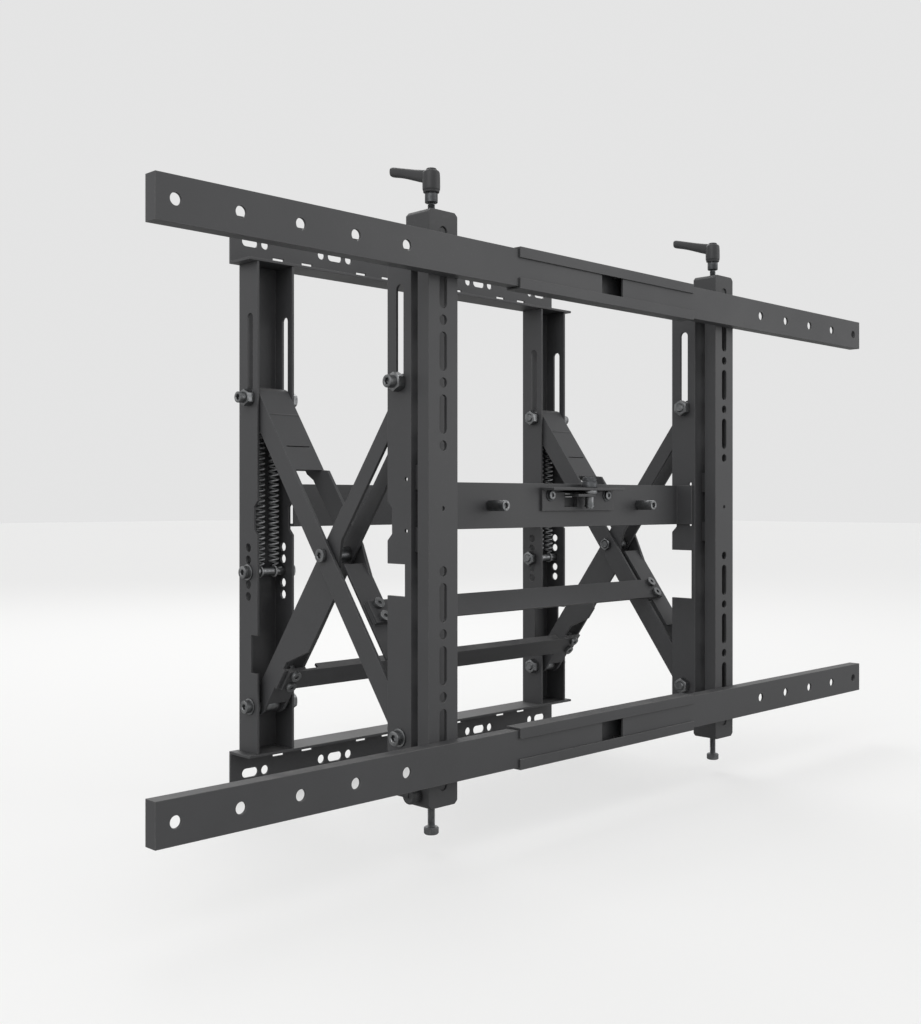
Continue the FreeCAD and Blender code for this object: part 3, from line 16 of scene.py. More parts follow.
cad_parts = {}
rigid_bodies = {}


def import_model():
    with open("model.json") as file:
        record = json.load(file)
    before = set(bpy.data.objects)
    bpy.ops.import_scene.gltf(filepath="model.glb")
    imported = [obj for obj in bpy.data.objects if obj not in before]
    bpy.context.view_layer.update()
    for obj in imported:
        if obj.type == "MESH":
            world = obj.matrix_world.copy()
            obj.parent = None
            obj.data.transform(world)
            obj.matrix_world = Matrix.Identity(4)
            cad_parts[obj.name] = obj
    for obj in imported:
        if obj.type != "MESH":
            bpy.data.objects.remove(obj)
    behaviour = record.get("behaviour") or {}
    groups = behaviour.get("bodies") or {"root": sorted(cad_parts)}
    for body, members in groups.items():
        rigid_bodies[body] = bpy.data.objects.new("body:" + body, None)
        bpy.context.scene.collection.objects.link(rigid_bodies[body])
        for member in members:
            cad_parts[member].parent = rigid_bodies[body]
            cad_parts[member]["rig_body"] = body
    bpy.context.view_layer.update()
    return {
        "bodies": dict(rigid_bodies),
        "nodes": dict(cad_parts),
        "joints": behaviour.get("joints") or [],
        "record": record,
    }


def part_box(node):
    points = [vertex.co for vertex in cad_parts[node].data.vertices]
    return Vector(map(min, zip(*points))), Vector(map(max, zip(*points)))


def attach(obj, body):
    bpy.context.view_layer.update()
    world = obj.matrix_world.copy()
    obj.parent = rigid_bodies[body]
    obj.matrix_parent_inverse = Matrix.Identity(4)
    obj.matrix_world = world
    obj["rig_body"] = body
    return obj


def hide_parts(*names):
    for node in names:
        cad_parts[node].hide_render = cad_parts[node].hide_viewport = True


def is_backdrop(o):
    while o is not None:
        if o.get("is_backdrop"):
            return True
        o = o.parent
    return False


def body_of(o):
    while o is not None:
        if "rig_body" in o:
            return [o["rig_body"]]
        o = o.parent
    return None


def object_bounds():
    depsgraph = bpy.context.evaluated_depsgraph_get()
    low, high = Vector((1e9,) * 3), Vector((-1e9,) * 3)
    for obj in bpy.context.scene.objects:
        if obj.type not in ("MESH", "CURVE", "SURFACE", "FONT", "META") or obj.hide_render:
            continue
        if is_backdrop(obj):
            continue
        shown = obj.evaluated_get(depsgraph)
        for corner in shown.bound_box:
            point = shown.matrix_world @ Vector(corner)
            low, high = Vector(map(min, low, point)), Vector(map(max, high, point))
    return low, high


LOG = logging.getLogger("wall_mount")
MM = 0.001

Point = tuple[float, float, float]
Colour = tuple[float, float, float]


class Side(Enum):
    """The two sides of the mount."""

    LEFT = "left"
    RIGHT = "right"

    @property
    def out(self) -> float:
        """The way along X that leads outwards on this side."""
        return -1.0 if self is Side.LEFT else 1.0


class Facing(Enum):
    """The way that a piece drawn along +Z points once it is in place."""

    BACK = (0.0, 1.0, 0.0)
    FRONT = (0.0, -1.0, 0.0)

    def place(self, origin: Vector) -> Matrix:
        """Returns the placement of a piece that starts at an origin and points this way."""
        return pointing(origin, Vector(self.value))


class Effect(Enum):
    """The shader groups that the finishes share."""

    COAT_GRAIN = "coat_grain"
    EDGE_WEAR = "edge_wear"
    SETTLED_DUST = "settled_dust"
    DRAWN_LINES = "drawn_lines"


# Shader groups.


@dataclass
class GroupMaker:
    """Builds one shader node group with named sockets."""

    name: str
    tree: bpy.types.NodeTree = field(init=False)
    start: bpy.types.Node = field(init=False)
    end: bpy.types.Node = field(init=False)

    def __post_init__(self) -> None:
        """Makes the empty group with its two end nodes."""
        self.tree = bpy.data.node_groups.new(self.name, "ShaderNodeTree")
        self.start = self.tree.nodes.new("NodeGroupInput")
        self.end = self.tree.nodes.new("NodeGroupOutput")

    def takes(self, name: str, value: float) -> bpy.types.NodeSocket:
        """Adds a number input.

        Args:
            name: What the input is called.
            value: Its value until a material sets it.

        Returns:
            The socket to link from inside the group.
        """
        socket = self.tree.interface.new_socket(name=name, in_out="INPUT", socket_type="NodeSocketFloat")
        socket.default_value = value
        return self.start.outputs[name]

    def gives(self, name: str, source: bpy.types.NodeSocket) -> None:
        """Adds a number output fed by a socket inside the group."""
        self.tree.interface.new_socket(name=name, in_out="OUTPUT", socket_type="NodeSocketFloat")
        self.tree.links.new(source, self.end.inputs[name])

    def node(self, kind: str, **values: object) -> bpy.types.Node:
        """Adds a node and sets its properties."""
        return add_node(self.tree, kind, **values)

    def math(self, operation: str, first: object, second: object, clamp: bool = False
             ) -> bpy.types.NodeSocket:
        """Adds a sum on two sockets or numbers.

        Args:
            operation: Which sum.
            first: Its first socket or number.
            second: Its second socket or number.
            clamp: Keeps the result between 0 and 1.

        Returns:
            The result's socket.
        """
        made = self.node("ShaderNodeMath", operation=operation, use_clamp=clamp)
        for socket, value in zip(made.inputs, (first, second)):
            feed(self.tree, socket, value)
        return made.outputs[0]

    def spread(self, value: bpy.types.NodeSocket, low: float, high: float) -> bpy.types.NodeSocket:
        """Stretches the part of a value between two limits to the whole range from 0 to 1.

        Args:
            value: The value's socket.
            low: The limit that becomes 0.
            high: The limit that becomes 1.

        Returns:
            The stretched value's socket.
        """
        made = self.node("ShaderNodeMapRange", interpolation_type="SMOOTHSTEP")
        feed(self.tree, made.inputs["Value"], value)
        made.inputs["From Min"].default_value = low
        made.inputs["From Max"].default_value = high
        return made.outputs["Result"]

    def noise(self, scale: object, detail: float, rough: float, stretch: Point | None = None
              ) -> bpy.types.NodeSocket:
        """Adds noise in the object's own space.

        Args:
            scale: How fine it is, as a socket or a number.
            detail: How many finer layers it has.
            rough: How much the finer layers show.
            stretch: Scale along each axis, for noise that is drawn out into lines.

        Returns:
            The noise's socket.
        """
        space = self.node("ShaderNodeTexCoord").outputs["Object"]
        if stretch is not None:
            mapping = self.node("ShaderNodeMapping")
            mapping.inputs["Scale"].default_value = stretch
            self.tree.links.new(space, mapping.inputs["Vector"])
            space = mapping.outputs["Vector"]
        made = self.node("ShaderNodeTexNoise")
        made.inputs["Detail"].default_value = detail
        made.inputs["Roughness"].default_value = rough
        feed(self.tree, made.inputs["Scale"], scale)
        self.tree.links.new(space, made.inputs["Vector"])
        return made.outputs["Fac"]


def add_node(tree: bpy.types.NodeTree, kind: str, **values: object) -> bpy.types.Node:
    """Adds a node to a tree and sets its properties.

    Args:
        tree: The tree.
        kind: The node's type.
        **values: Its properties, by name.

    Returns:
        The node.
    """
    made = tree.nodes.new(kind)
    for name, value in values.items():
        setattr(made, name, value)
    return made


def feed(tree: bpy.types.NodeTree, socket: bpy.types.NodeSocket, value: object) -> None:
    """Links a socket or sets a value on it.

    Args:
        tree: The tree that the socket is in.
        socket: The input.
        value: The socket to link to it, or the value to set.
    """
    if isinstance(value, bpy.types.NodeSocket):
        tree.links.new(value, socket)
    else:
        socket.default_value = value


def coat_grain() -> bpy.types.NodeTree:
    """Makes the fine orange-peel grain of powder coat, with faint clouds in its tone and gloss.

    Returns:
        The group, which gives a height, clouds and specks.
    """
    made = GroupMaker(Effect.COAT_GRAIN.value)
    grain = made.takes("Grain", 900.0)
    coarse = made.noise(grain, 2.0, 0.5)
    fine = made.noise(made.math("MULTIPLY", grain, 3.1), 2.0, 0.6)
    height = made.math("ADD", made.math("MULTIPLY", coarse, 0.7), made.math("MULTIPLY", fine, 0.3))
    clouds = made.spread(made.noise(9.0, 4.0, 0.6), 0.3, 0.7)
    specks = made.spread(made.noise(made.math("MULTIPLY", grain, 0.55), 1.0, 0.4), 0.62, 0.74)
    made.gives("Height", height)
    made.gives("Clouds", clouds)
    made.gives("Specks", specks)
    return made.tree


def edge_wear() -> bpy.types.NodeTree:
    """Makes a broken mask along sharp outer edges, where handling has rubbed the finish.

    Returns:
        The group, which gives the worn places and the whole edge.
    """
    made = GroupMaker(Effect.EDGE_WEAR.value)
    reach = made.takes("Reach", 0.0008)
    amount = made.takes("Amount", 0.5)
    round_edge = made.node("ShaderNodeBevel", samples=6)
    made.tree.links.new(reach, round_edge.inputs["Radius"])
    flat = made.node("ShaderNodeNewGeometry")
    apart = made.node("ShaderNodeVectorMath", operation="DOT_PRODUCT")
    made.tree.links.new(round_edge.outputs["Normal"], apart.inputs[0])
    made.tree.links.new(flat.outputs["Normal"], apart.inputs[1])
    edge = made.spread(made.math("SUBTRACT", 1.0, apart.outputs["Value"]), 0.015, 0.16)
    broken = made.spread(made.noise(240.0, 5.0, 0.7), 0.42, 0.66)
    patches = made.spread(made.noise(22.0, 2.0, 0.5), 0.38, 0.62)
    worn = made.math("MULTIPLY", made.math("MULTIPLY", edge, broken), patches)
    made.gives("Worn", made.math("MULTIPLY", worn, amount, clamp=True))
    made.gives("Edge", edge)
    return made.tree


def settled_dust() -> bpy.types.NodeTree:
    """Makes a thin patchy mask on faces that look up, where dust settles.

    Returns:
        The group, which gives the dust.
    """
    made = GroupMaker(Effect.SETTLED_DUST.value)
    amount = made.takes("Amount", 0.3)
    face = made.node("ShaderNodeSeparateXYZ")
    made.tree.links.new(made.node("ShaderNodeNewGeometry").outputs["Normal"], face.inputs[0])
    upward = made.spread(face.outputs["Z"], 0.55, 0.95)
    patches = made.spread(made.noise(35.0, 5.0, 0.65), 0.3, 0.75)
    made.gives("Dust", made.math("MULTIPLY", made.math("MULTIPLY", upward, patches), amount, clamp=True))
    return made.tree


def drawn_lines() -> bpy.types.NodeTree:
    """Makes faint lines drawn round or along turned and plated steel, with clouds in the plating.

    Returns:
        The group, which gives a height and clouds.
    """
    made = GroupMaker(Effect.DRAWN_LINES.value)
    scale = made.takes("Scale", 1800.0)
    lines = made.noise(scale, 2.0, 0.5, (1.0, 0.06, 0.06))
    across = made.noise(scale, 2.0, 0.5, (0.06, 1.0, 0.3))
    clouds = made.spread(made.noise(130.0, 4.0, 0.6), 0.3, 0.72)
    made.gives("Height", made.math("ADD", lines, made.math("MULTIPLY", across, 0.5)))
    made.gives("Clouds", clouds)
    return made.tree


class Effects:
    """Builds each shared group the first time that a finish asks for it."""

    makers: dict[Effect, Callable[[], bpy.types.NodeTree]] = {
        Effect.COAT_GRAIN: coat_grain, Effect.EDGE_WEAR: edge_wear, Effect.SETTLED_DUST: settled_dust,
        Effect.DRAWN_LINES: drawn_lines}
    made: dict[Effect, bpy.types.NodeTree] = {}

    @classmethod
    def place(cls, tree: bpy.types.NodeTree, effect: Effect, **values: float) -> bpy.types.Node:
        """Puts a shared effect into a material with its own values.

        Args:
            tree: The material's node tree.
            effect: Which effect.
            **values: Values for the effect's inputs, by name.

        Returns:
            The group node.
        """
        if effect not in cls.made:
            cls.made[effect] = cls.makers[effect]()
        placed = tree.nodes.new("ShaderNodeGroup")
        placed.node_tree = cls.made[effect]
        for key, value in values.items():
            placed.inputs[key].default_value = value
        return placed


# Finishes.


@dataclass(frozen=True)
class Finish:
    """What every finish has: a name, a colour and a slot name; the slot is not used."""

    name: str
    slot: str
    colour: Colour

    def build(self) -> bpy.types.Material:
        """Builds the material, which each kind of finish does in its own way."""
        raise NotImplementedError(self.name)

    def tinted(self, factor: float) -> Colour:
        """Returns the finish's colour made lighter by a factor, and never past white."""
        return tuple(min(1.0, c * factor) for c in self.colour)

    def start(self, roughness: float, metallic: float = 0.0) -> tuple[bpy.types.Material, bpy.types.NodeTree,
                                                                      bpy.types.Node]:
        """Makes the material with its plain shader.

        Args:
            roughness: The shader's roughness.
            metallic: How much of a metal it is, from 0 to 1.

        Returns:
            The material, its tree and the shader node.
        """
        material = bpy.data.materials.new(self.name)
        material.use_nodes = True
        tree = material.node_tree
        shader = tree.nodes["Principled BSDF"]
        shader.inputs["Base Color"].default_value = (*self.colour, 1.0)
        shader.inputs["Roughness"].default_value = roughness
        shader.inputs["Metallic"].default_value = metallic
        return material, tree, shader

    def bump(self, tree: bpy.types.NodeTree, shader: bpy.types.Node, height: bpy.types.NodeSocket,
             strength: float, distance: float) -> None:
        """Feeds a height to the shader's normal through a bump node.

        Args:
            tree: The material's tree.
            shader: The shader node.
            height: The height's socket.
            strength: How much of the height shows.
            distance: How deep it goes, in metres.
        """
        made = tree.nodes.new("ShaderNodeBump")
        made.inputs["Strength"].default_value = strength
        made.inputs["Distance"].default_value = distance
        tree.links.new(height, made.inputs["Height"])
        tree.links.new(made.outputs["Normal"], shader.inputs["Normal"])

    def mix(self, tree: bpy.types.NodeTree, mask: bpy.types.NodeSocket, below: object, above: object
            ) -> bpy.types.NodeSocket:
        """Blends two colours, or a colour over a socket, by a mask.

        Args:
            tree: The material's tree.
            mask: Where the second colour shows.
            below: The first colour or its socket.
            above: The second colour or its socket.

        Returns:
            The blended colour's socket.
        """
        made = add_node(tree, "ShaderNodeMix", data_type="RGBA")
        feed(tree, made.inputs["Factor"], mask)
        for socket, value in ((made.inputs[6], below), (made.inputs[7], above)):
            feed(tree, socket, value if isinstance(value, bpy.types.NodeSocket) else (*value, 1.0))
        return made.outputs[2]

    def slide(self, tree: bpy.types.NodeTree, mask: bpy.types.NodeSocket, low: object, high: object
              ) -> bpy.types.NodeSocket:
        """Moves a number between two values by a mask.

        Args:
            tree: The material's tree.
            mask: How far it moves.
            low: The value or socket where the mask is 0.
            high: The value or socket where the mask is 1.

        Returns:
            The number's socket.
        """
        made = add_node(tree, "ShaderNodeMix", data_type="FLOAT")
        feed(tree, made.inputs["Factor"], mask)
        feed(tree, made.inputs[2], low)
        feed(tree, made.inputs[3], high)
        return made.outputs[0]


@dataclass(frozen=True)
class PowderCoat(Finish):
    """Matte charcoal powder coat on folded steel."""

    bare: Colour = (0.30, 0.31, 0.32)
    # dusty is the colour of dust and also of the painted highlight along every edge.
    dusty: Colour = (0.24, 0.235, 0.225)
    roughness: float = 0.52
    grain: float = 900.0
    reach: float = 0.0009
    wear: float = 0.5
    # How far every edge is lightened: partly rubbed coat, partly a painted highlight.
    edge_rub_and_highlight: float = 0.42
    dust: float = 0.35
    relief: float = 0.22
    relief_depth: float = 0.0002
    cloud_tint: float = 1.22
    speck_tint: float = 1.18
    gloss_swing: float = 0.06
    dust_roughness: float = 0.9

    def build(self) -> bpy.types.Material:
        """Builds the material: grain, faint clouds, rubbed edges with a painted highlight along every edge,
        and dust on top.

        Returns:
            The material.
        """
        material, tree, shader = self.start(self.roughness)
        grain = Effects.place(tree, Effect.COAT_GRAIN, Grain=self.grain)
        wear = Effects.place(tree, Effect.EDGE_WEAR, Reach=self.reach, Amount=self.wear)
        dust = Effects.place(tree, Effect.SETTLED_DUST, Amount=self.dust)
        tone = self.mix(tree, grain.outputs["Clouds"], self.colour, self.tinted(self.cloud_tint))
        tone = self.mix(tree, grain.outputs["Specks"], tone, self.tinted(self.speck_tint))
        # Painted highlight: every sharp edge, unbroken, is lightened towards the dusty colour, partly as
        # rubbed coat.
        edge_rub_and_highlight = add_node(tree, "ShaderNodeMath", operation="MULTIPLY")
        edge_rub_and_highlight.inputs[1].default_value = self.edge_rub_and_highlight
        tree.links.new(wear.outputs["Edge"], edge_rub_and_highlight.inputs[0])
        tone = self.mix(tree, edge_rub_and_highlight.outputs[0], tone, self.dusty)
        tone = self.mix(tree, wear.outputs["Worn"], tone, self.bare)
        tone = self.mix(tree, dust.outputs["Dust"], tone, self.dusty)
        tree.links.new(tone, shader.inputs["Base Color"])
        gloss = self.slide(tree, grain.outputs["Clouds"], self.roughness - self.gloss_swing,
                           self.roughness + self.gloss_swing)
        gloss = self.slide(tree, dust.outputs["Dust"], gloss, self.dust_roughness)
        tree.links.new(gloss, shader.inputs["Roughness"])
        self.bump(tree, shader, grain.outputs["Height"], self.relief, self.relief_depth)
        return material


@dataclass(frozen=True)
class PlatedSteel(Finish):
    """Dull zinc on bolts, nuts, washers and sleeves."""

    dark: Colour = (0.16, 0.165, 0.17)
    roughness: float = 0.34
    metallic: float = 1.0
    lines: float = 1800.0
    reach: float = 0.0006
    wear: float = 0.8
    relief: float = 0.08
    relief_depth: float = 0.0001
    # How much lighter the worn edges are: partly wear, partly a painted highlight.
    wear_and_highlight_tint: float = 1.35
    gloss_swing: float = 0.14

    def build(self) -> bpy.types.Material:
        """Builds the material: clouded plating, fine drawn lines and brighter edges, partly wear and partly a
        painted highlight.

        Returns:
            The material.
        """
        material, tree, shader = self.start(self.roughness, self.metallic)
        lines = Effects.place(tree, Effect.DRAWN_LINES, Scale=self.lines)
        wear = Effects.place(tree, Effect.EDGE_WEAR, Reach=self.reach, Amount=self.wear)
        tone = self.mix(tree, lines.outputs["Clouds"], self.dark, self.colour)
        # Painted highlight: the worn edges are made lighter, partly as wear and partly as the light rims of
        # the edges.
        tone = self.mix(tree, wear.outputs["Worn"], tone, self.tinted(self.wear_and_highlight_tint))
        tree.links.new(tone, shader.inputs["Base Color"])
        gloss = self.slide(tree, lines.outputs["Clouds"], self.roughness + self.gloss_swing, self.roughness)
        tree.links.new(gloss, shader.inputs["Roughness"])
        self.bump(tree, shader, lines.outputs["Height"], self.relief, self.relief_depth)
        return material


@dataclass(frozen=True)
class MouldedPlastic(Finish):
    """Black moulded plastic with a fine spark-eroded grain."""

    dusty: Colour = (0.2, 0.195, 0.19)
    roughness: float = 0.48
    grain: float = 1500.0
    reach: float = 0.0008
    wear: float = 0.35
    dust: float = 0.22
    relief: float = 0.3
    relief_depth: float = 0.00012
    cloud_tint: float = 1.35
    rub_tint: float = 3.0
    gloss_swing: float = 0.16

    def build(self) -> bpy.types.Material:
        """Builds the material: fine grain, edges rubbed smooth and a trace of dust.

        Returns:
            The material.
        """
        material, tree, shader = self.start(self.roughness)
        grain = Effects.place(tree, Effect.COAT_GRAIN, Grain=self.grain)
        wear = Effects.place(tree, Effect.EDGE_WEAR, Reach=self.reach, Amount=self.wear)
        dust = Effects.place(tree, Effect.SETTLED_DUST, Amount=self.dust)
        tone = self.mix(tree, grain.outputs["Clouds"], self.colour, self.tinted(self.cloud_tint))
        tone = self.mix(tree, wear.outputs["Worn"], tone, self.tinted(self.rub_tint))
        tone = self.mix(tree, dust.outputs["Dust"], tone, self.dusty)
        tree.links.new(tone, shader.inputs["Base Color"])
        gloss = self.slide(tree, wear.outputs["Edge"], self.roughness, self.roughness - self.gloss_swing)
        tree.links.new(gloss, shader.inputs["Roughness"])
        self.bump(tree, shader, grain.outputs["Height"], self.relief, self.relief_depth)
        return material


CHARCOAL = PowderCoat("charcoal_powder_coat", "powder_coat", (0.0505, 0.051, 0.0535))
CAST_COAT = PowderCoat("coated_casting", "powder_coat", (0.0475, 0.048, 0.050), roughness=0.58, grain=520.0,
                       wear=0.7)
ZINC = PlatedSteel("dull_zinc", "zinc_steel", (0.30, 0.305, 0.31))
DARK_STEEL = PlatedSteel("blackened_steel", "zinc_steel", (0.13, 0.135, 0.14), dark=(0.06, 0.062, 0.065),
                         roughness=0.42)
WIRE = PlatedSteel("spring_wire", "spring_steel", (0.50, 0.505, 0.515), dark=(0.31, 0.315, 0.32),
                   roughness=0.42, lines=2600.0, metallic=0.45)
PLASTIC = MouldedPlastic("black_moulding", "black_plastic", (0.031, 0.0315, 0.033))


# Meshes.

Radial = float | Callable[[float], float]


def at_angle(value: Radial, angle: float) -> float:
    """Returns a radius or height at an angle round the axis."""
    return value(angle) if callable(value) else value


def hexagon(corner: float) -> Callable[[float], float]:
    """Makes the outline of a hexagon.

    Args:
        corner: Its width across corners.

    Returns:
        The distance to its side, by angle.
    """
    flat = corner / 2 * math.cos(math.pi / 6)

    def radius(angle: float) -> float:
        """The distance to the hexagon's side at an angle."""
        return flat / math.cos(angle % (math.pi / 3) - math.pi / 6)

    return radius


def fluted(radius: float, depth: float, count: int) -> Callable[[float], float]:
    """Makes the outline of a rim with rounded flutes.

    Args:
        radius: The rim's radius between the flutes.
        depth: How deep a flute goes.
        count: How many flutes there are.

    Returns:
        The rim's radius, by angle.
    """
    return lambda angle: radius - depth * (0.5 + 0.5 * math.cos(count * angle)) ** 2


def thread_turn(core: float, crest: float, low: float, pitch: float, first: float, last: float
                ) -> list[tuple[Radial, Radial]]:
    """Returns the profile of one turn of a thread.

    Args:
        core: Radius between the crests.
        crest: Radius of the crest.
        low: Where the turn starts along the screw.
        pitch: Length of the turn.
        first: Where the crest's flank starts, as a share of the pitch.
        last: Where the crest's other flank ends, as a share of the pitch.

    Returns:
        Radius and height of its four rings.
    """
    return [(core, low + pitch * first), (crest, low + pitch * 0.45), (crest, low + pitch * 0.55),
            (core, low + pitch * last)]


def blunt_square(power: float, count: int = 16) -> list[tuple[float, float]]:
    """Makes the outline of a square of half side 1 with blunt corners.

    Args:
        power: How square it is: 2 gives a circle.
        count: Points round it.

    Returns:
        The two coordinates of each point.
    """
    points = []
    for k in range(count):
        angle = 2 * math.pi * k / count
        across, up = math.cos(angle), math.sin(angle)
        blunt = (abs(across) ** power + abs(up) ** power) ** (-1 / power)
        points.append((across * blunt, up * blunt))
    return points


def pointing(origin: Vector, direction: Vector) -> Matrix:
    """Returns the placement that takes a piece drawn along +Z to an origin and a direction."""
    return Matrix.Translation(origin) @ direction.to_track_quat("Z", "Y").to_matrix().to_4x4()


class Shape:
    """A mesh under construction, in the mount's own frame."""

    def __init__(self) -> None:
        """Starts an empty mesh."""
        self.mesh = bmesh.new()

    def skin(self, rings: Sequence[Sequence[Vector]], place: Matrix, closed: bool = False) -> None:
        """Joins rings of points into a surface.

        Args:
            rings: Rings with the same count of points each.
            place: Where the surface goes.
            closed: Joins the last ring to the first instead of capping both.
        """
        made = [[self.mesh.verts.new(place @ point) for point in ring] for ring in rings]
        pairs = list(zip(made, made[1:]))
        if closed:
            pairs.append((made[-1], made[0]))
        for lower, upper in pairs:
            for i, corner in enumerate(lower):
                j = (i + 1) % len(lower)
                self.mesh.faces.new((corner, lower[j], upper[j], upper[i]))
        if not closed:
            self.mesh.faces.new(reversed(made[0]))
            self.mesh.faces.new(made[-1])

    def turned(self, profile: Sequence[tuple[Radial, Radial]], place: Matrix, closed: bool = False,
               steps: int = 48) -> None:
        """Turns a profile round +Z.

        Args:
            profile: Radius and height of each ring, as numbers or by angle.
            place: Where the turned piece goes.
            closed: Joins the last ring to the first, for a piece with a hole through it.
            steps: Points in each ring.
        """
        rings = []
        for radius, height in profile:
            ring = []
            for step in range(steps):
                angle = 2 * math.pi * step / steps
                reach, level = at_angle(radius, angle), at_angle(height, angle)
                ring.append(Vector((reach * math.cos(angle), reach * math.sin(angle), level)))
            rings.append(ring)
        self.skin(rings, place, closed)

    def tube(self, path: Sequence[Vector], radius: float, sides: int) -> None:
        """Sweeps a round section along a path without twisting it.

        Args:
            path: The points of the middle line.
            radius: The section's radius.
            sides: Points in each section.
        """
        heading = (path[1] - path[0]).normalized()
        across = heading.orthogonal().normalized()
        rings = []
        for i, point in enumerate(path):
            ahead = path[min(i + 1, len(path) - 1)] - path[max(i - 1, 0)]
            ahead.normalize()
            across = (across - ahead * across.dot(ahead)).normalized()
            up = ahead.cross(across)
            rings.append([point + (across * math.cos(2 * math.pi * k / sides)
                                   + up * math.sin(2 * math.pi * k / sides)) * radius for k in range(sides)])
        self.skin(rings, Matrix.Identity(4))

    def data(self, name: str, sharp: float = 32.0) -> bpy.types.Mesh:
        """Turns the mesh into Blender data with smooth faces.

        Args:
            name: The data's name.
            sharp: Angle in degrees past which an edge is kept sharp.

        Returns:
            The data.
        """
        bmesh.ops.recalc_face_normals(self.mesh, faces=self.mesh.faces)
        made = bpy.data.meshes.new(name)
        self.mesh.to_mesh(made)
        self.mesh.free()
        made.shade_smooth()
        made.set_sharp_from_angle(angle=math.radians(sharp))
        return made


@dataclass(frozen=True)
class Extent:
    """The box round one solid of a CAD node, in metres."""

    low: Vector
    high: Vector

    @property
    def centre(self) -> Vector:
        """The middle of the box."""
        return (self.low + self.high) / 2

    @property
    def size(self) -> Vector:
        """The box's three sides."""
        return self.high - self.low

    @property
    def side(self) -> float:
        """Which side of the mount it is on: -1 left, 1 right."""
        return math.copysign(1.0, self.centre.x)

    def inward(self) -> Matrix:
        """Finds the outer end of a solid that lies along X.

        Returns:
            The placement at that end that looks inwards.
        """
        centre = self.centre
        outermost = self.high.x if self.side > 0 else self.low.x
        return pointing(Vector((outermost, centre.y, centre.z)), Vector((-self.side, 0, 0)))


@dataclass
class Workshop:
    """Puts finished pieces into the scene and keeps each finish's one material.

    Attributes:
        frame: The loaded frame.
        joined: Corners nearer to one another than this are one.
        flat_angle: Angle in degrees under which neighbouring faces count as one.
        sharp_angle: Angle in degrees past which an edge is rounded.
        paints: The materials made so far, by the finish's name.
    """

    frame: dict
    joined: float = 0.002 * MM
    flat_angle: float = 1.0
    sharp_angle: float = 38.0
    paints: dict[str, bpy.types.Material] = field(default_factory=dict)

    def paint(self, finish: Finish) -> bpy.types.Material:
        """Builds a finish's material the first time that it is asked for.

        Args:
            finish: The finish.

        Returns:
            Its material.
        """
        if finish.name not in self.paints:
            self.paints[finish.name] = finish.build()
        return self.paints[finish.name]

    def body(self, node: str) -> str:
        """Returns the name of the body that a node rides on."""
        return body_of(self.frame["nodes"][node])[0]

    def copy(self, node: str) -> bmesh.types.BMesh:
        """Copies a node's mesh and joins the corners that meet.

        Args:
            node: The node.

        Returns:
            The copy, which the caller frees.
        """
        mesh = bmesh.new()
        mesh.from_mesh(self.frame["nodes"][node].data)
        bmesh.ops.remove_doubles(mesh, verts=mesh.verts, dist=self.joined)
        return mesh

    def solids(self, node: str) -> list[Extent]:
        """Finds the separate solids in a node.

        Args:
            node: The node.

        Returns:
            The box of each solid, from left to right.
        """
        mesh = self.copy(node)
        mesh.verts.ensure_lookup_table()
        seen: set[int] = set()
        found = []
        for start in mesh.verts:
            if start.index in seen:
                continue
            seen.add(start.index)
            group, queue = [], [start]
            while queue:
                corner = queue.pop()
                group.append(corner.co)
                for edge in corner.link_edges:
                    other = edge.other_vert(corner)
                    if other.index not in seen:
                        seen.add(other.index)
                        queue.append(other)
            low = Vector([min(point[i] for point in group) for i in range(3)])
            high = Vector([max(point[i] for point in group) for i in range(3)])
            found.append(Extent(low, high))
        mesh.free()
        return sorted(found, key=lambda extent: (extent.low.x, extent.low.z))

    def put(self, name: str, data: bpy.types.Mesh, finish: Finish) -> bpy.types.Object:
        """Links a new object with its one material into the scene.

        Args:
            name: The object's name.
            data: Its mesh.
            finish: Its finish.

        Returns:
            The object.
        """
        made = bpy.data.objects.new(name, data)
        bpy.context.scene.collection.objects.link(made)
        data.materials.clear()
        data.materials.append(self.paint(finish))
        return made

    def fit(self, node: str, data: bpy.types.Mesh, finish: Finish) -> bpy.types.Object:
        """Puts a piece into the scene in the place of a CAD node.

        Args:
            node: The node that it stands for.
            data: Its mesh, in the mount's frame.
            finish: Its finish.

        Returns:
            The piece.
        """
        piece = self.put(f"{node}_dressed", data, finish)
        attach(piece, self.body(node))
        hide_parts(node)
        return piece

    def add(self, name: str, data: bpy.types.Mesh, body: str, finish: Finish) -> None:
        """Puts a piece that stands for no CAD node into the scene.

        Args:
            name: The piece's name.
            data: Its mesh, in the mount's frame.
            body: The body that it rides on.
            finish: Its finish.
        """
        piece = self.put(name, data, finish)
        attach(piece, body)

    def soften(self, node: str, finish: Finish, rounding: float) -> None:
        """Rounds a node's sharp edges, as a pressed and coated piece has them.

        Args:
            node: The node, whose shape stays.
            finish: Its finish.
            rounding: Radius of its outer edges in millimetres.
        """
        mesh = self.copy(node)
        bmesh.ops.dissolve_limit(mesh, angle_limit=math.radians(self.flat_angle), verts=mesh.verts,
                                 edges=mesh.edges)
        data = bpy.data.meshes.new(f"{node}_sheet")
        mesh.to_mesh(data)
        mesh.free()
        data.shade_smooth()
        piece = self.fit(node, data, finish)
        bevel = piece.modifiers.new("rounding", "BEVEL")
        bevel.width = rounding * MM
        bevel.segments = 2
        bevel.limit_method = "ANGLE"
        bevel.angle_limit = math.radians(self.sharp_angle)
        bevel.use_clamp_overlap = False
        bevel.loop_slide = False
        shading = piece.modifiers.new("flat_faces", "WEIGHTED_NORMAL")
        shading.mode = "FACE_AREA"
        shading.weight = 50


# Hardware.


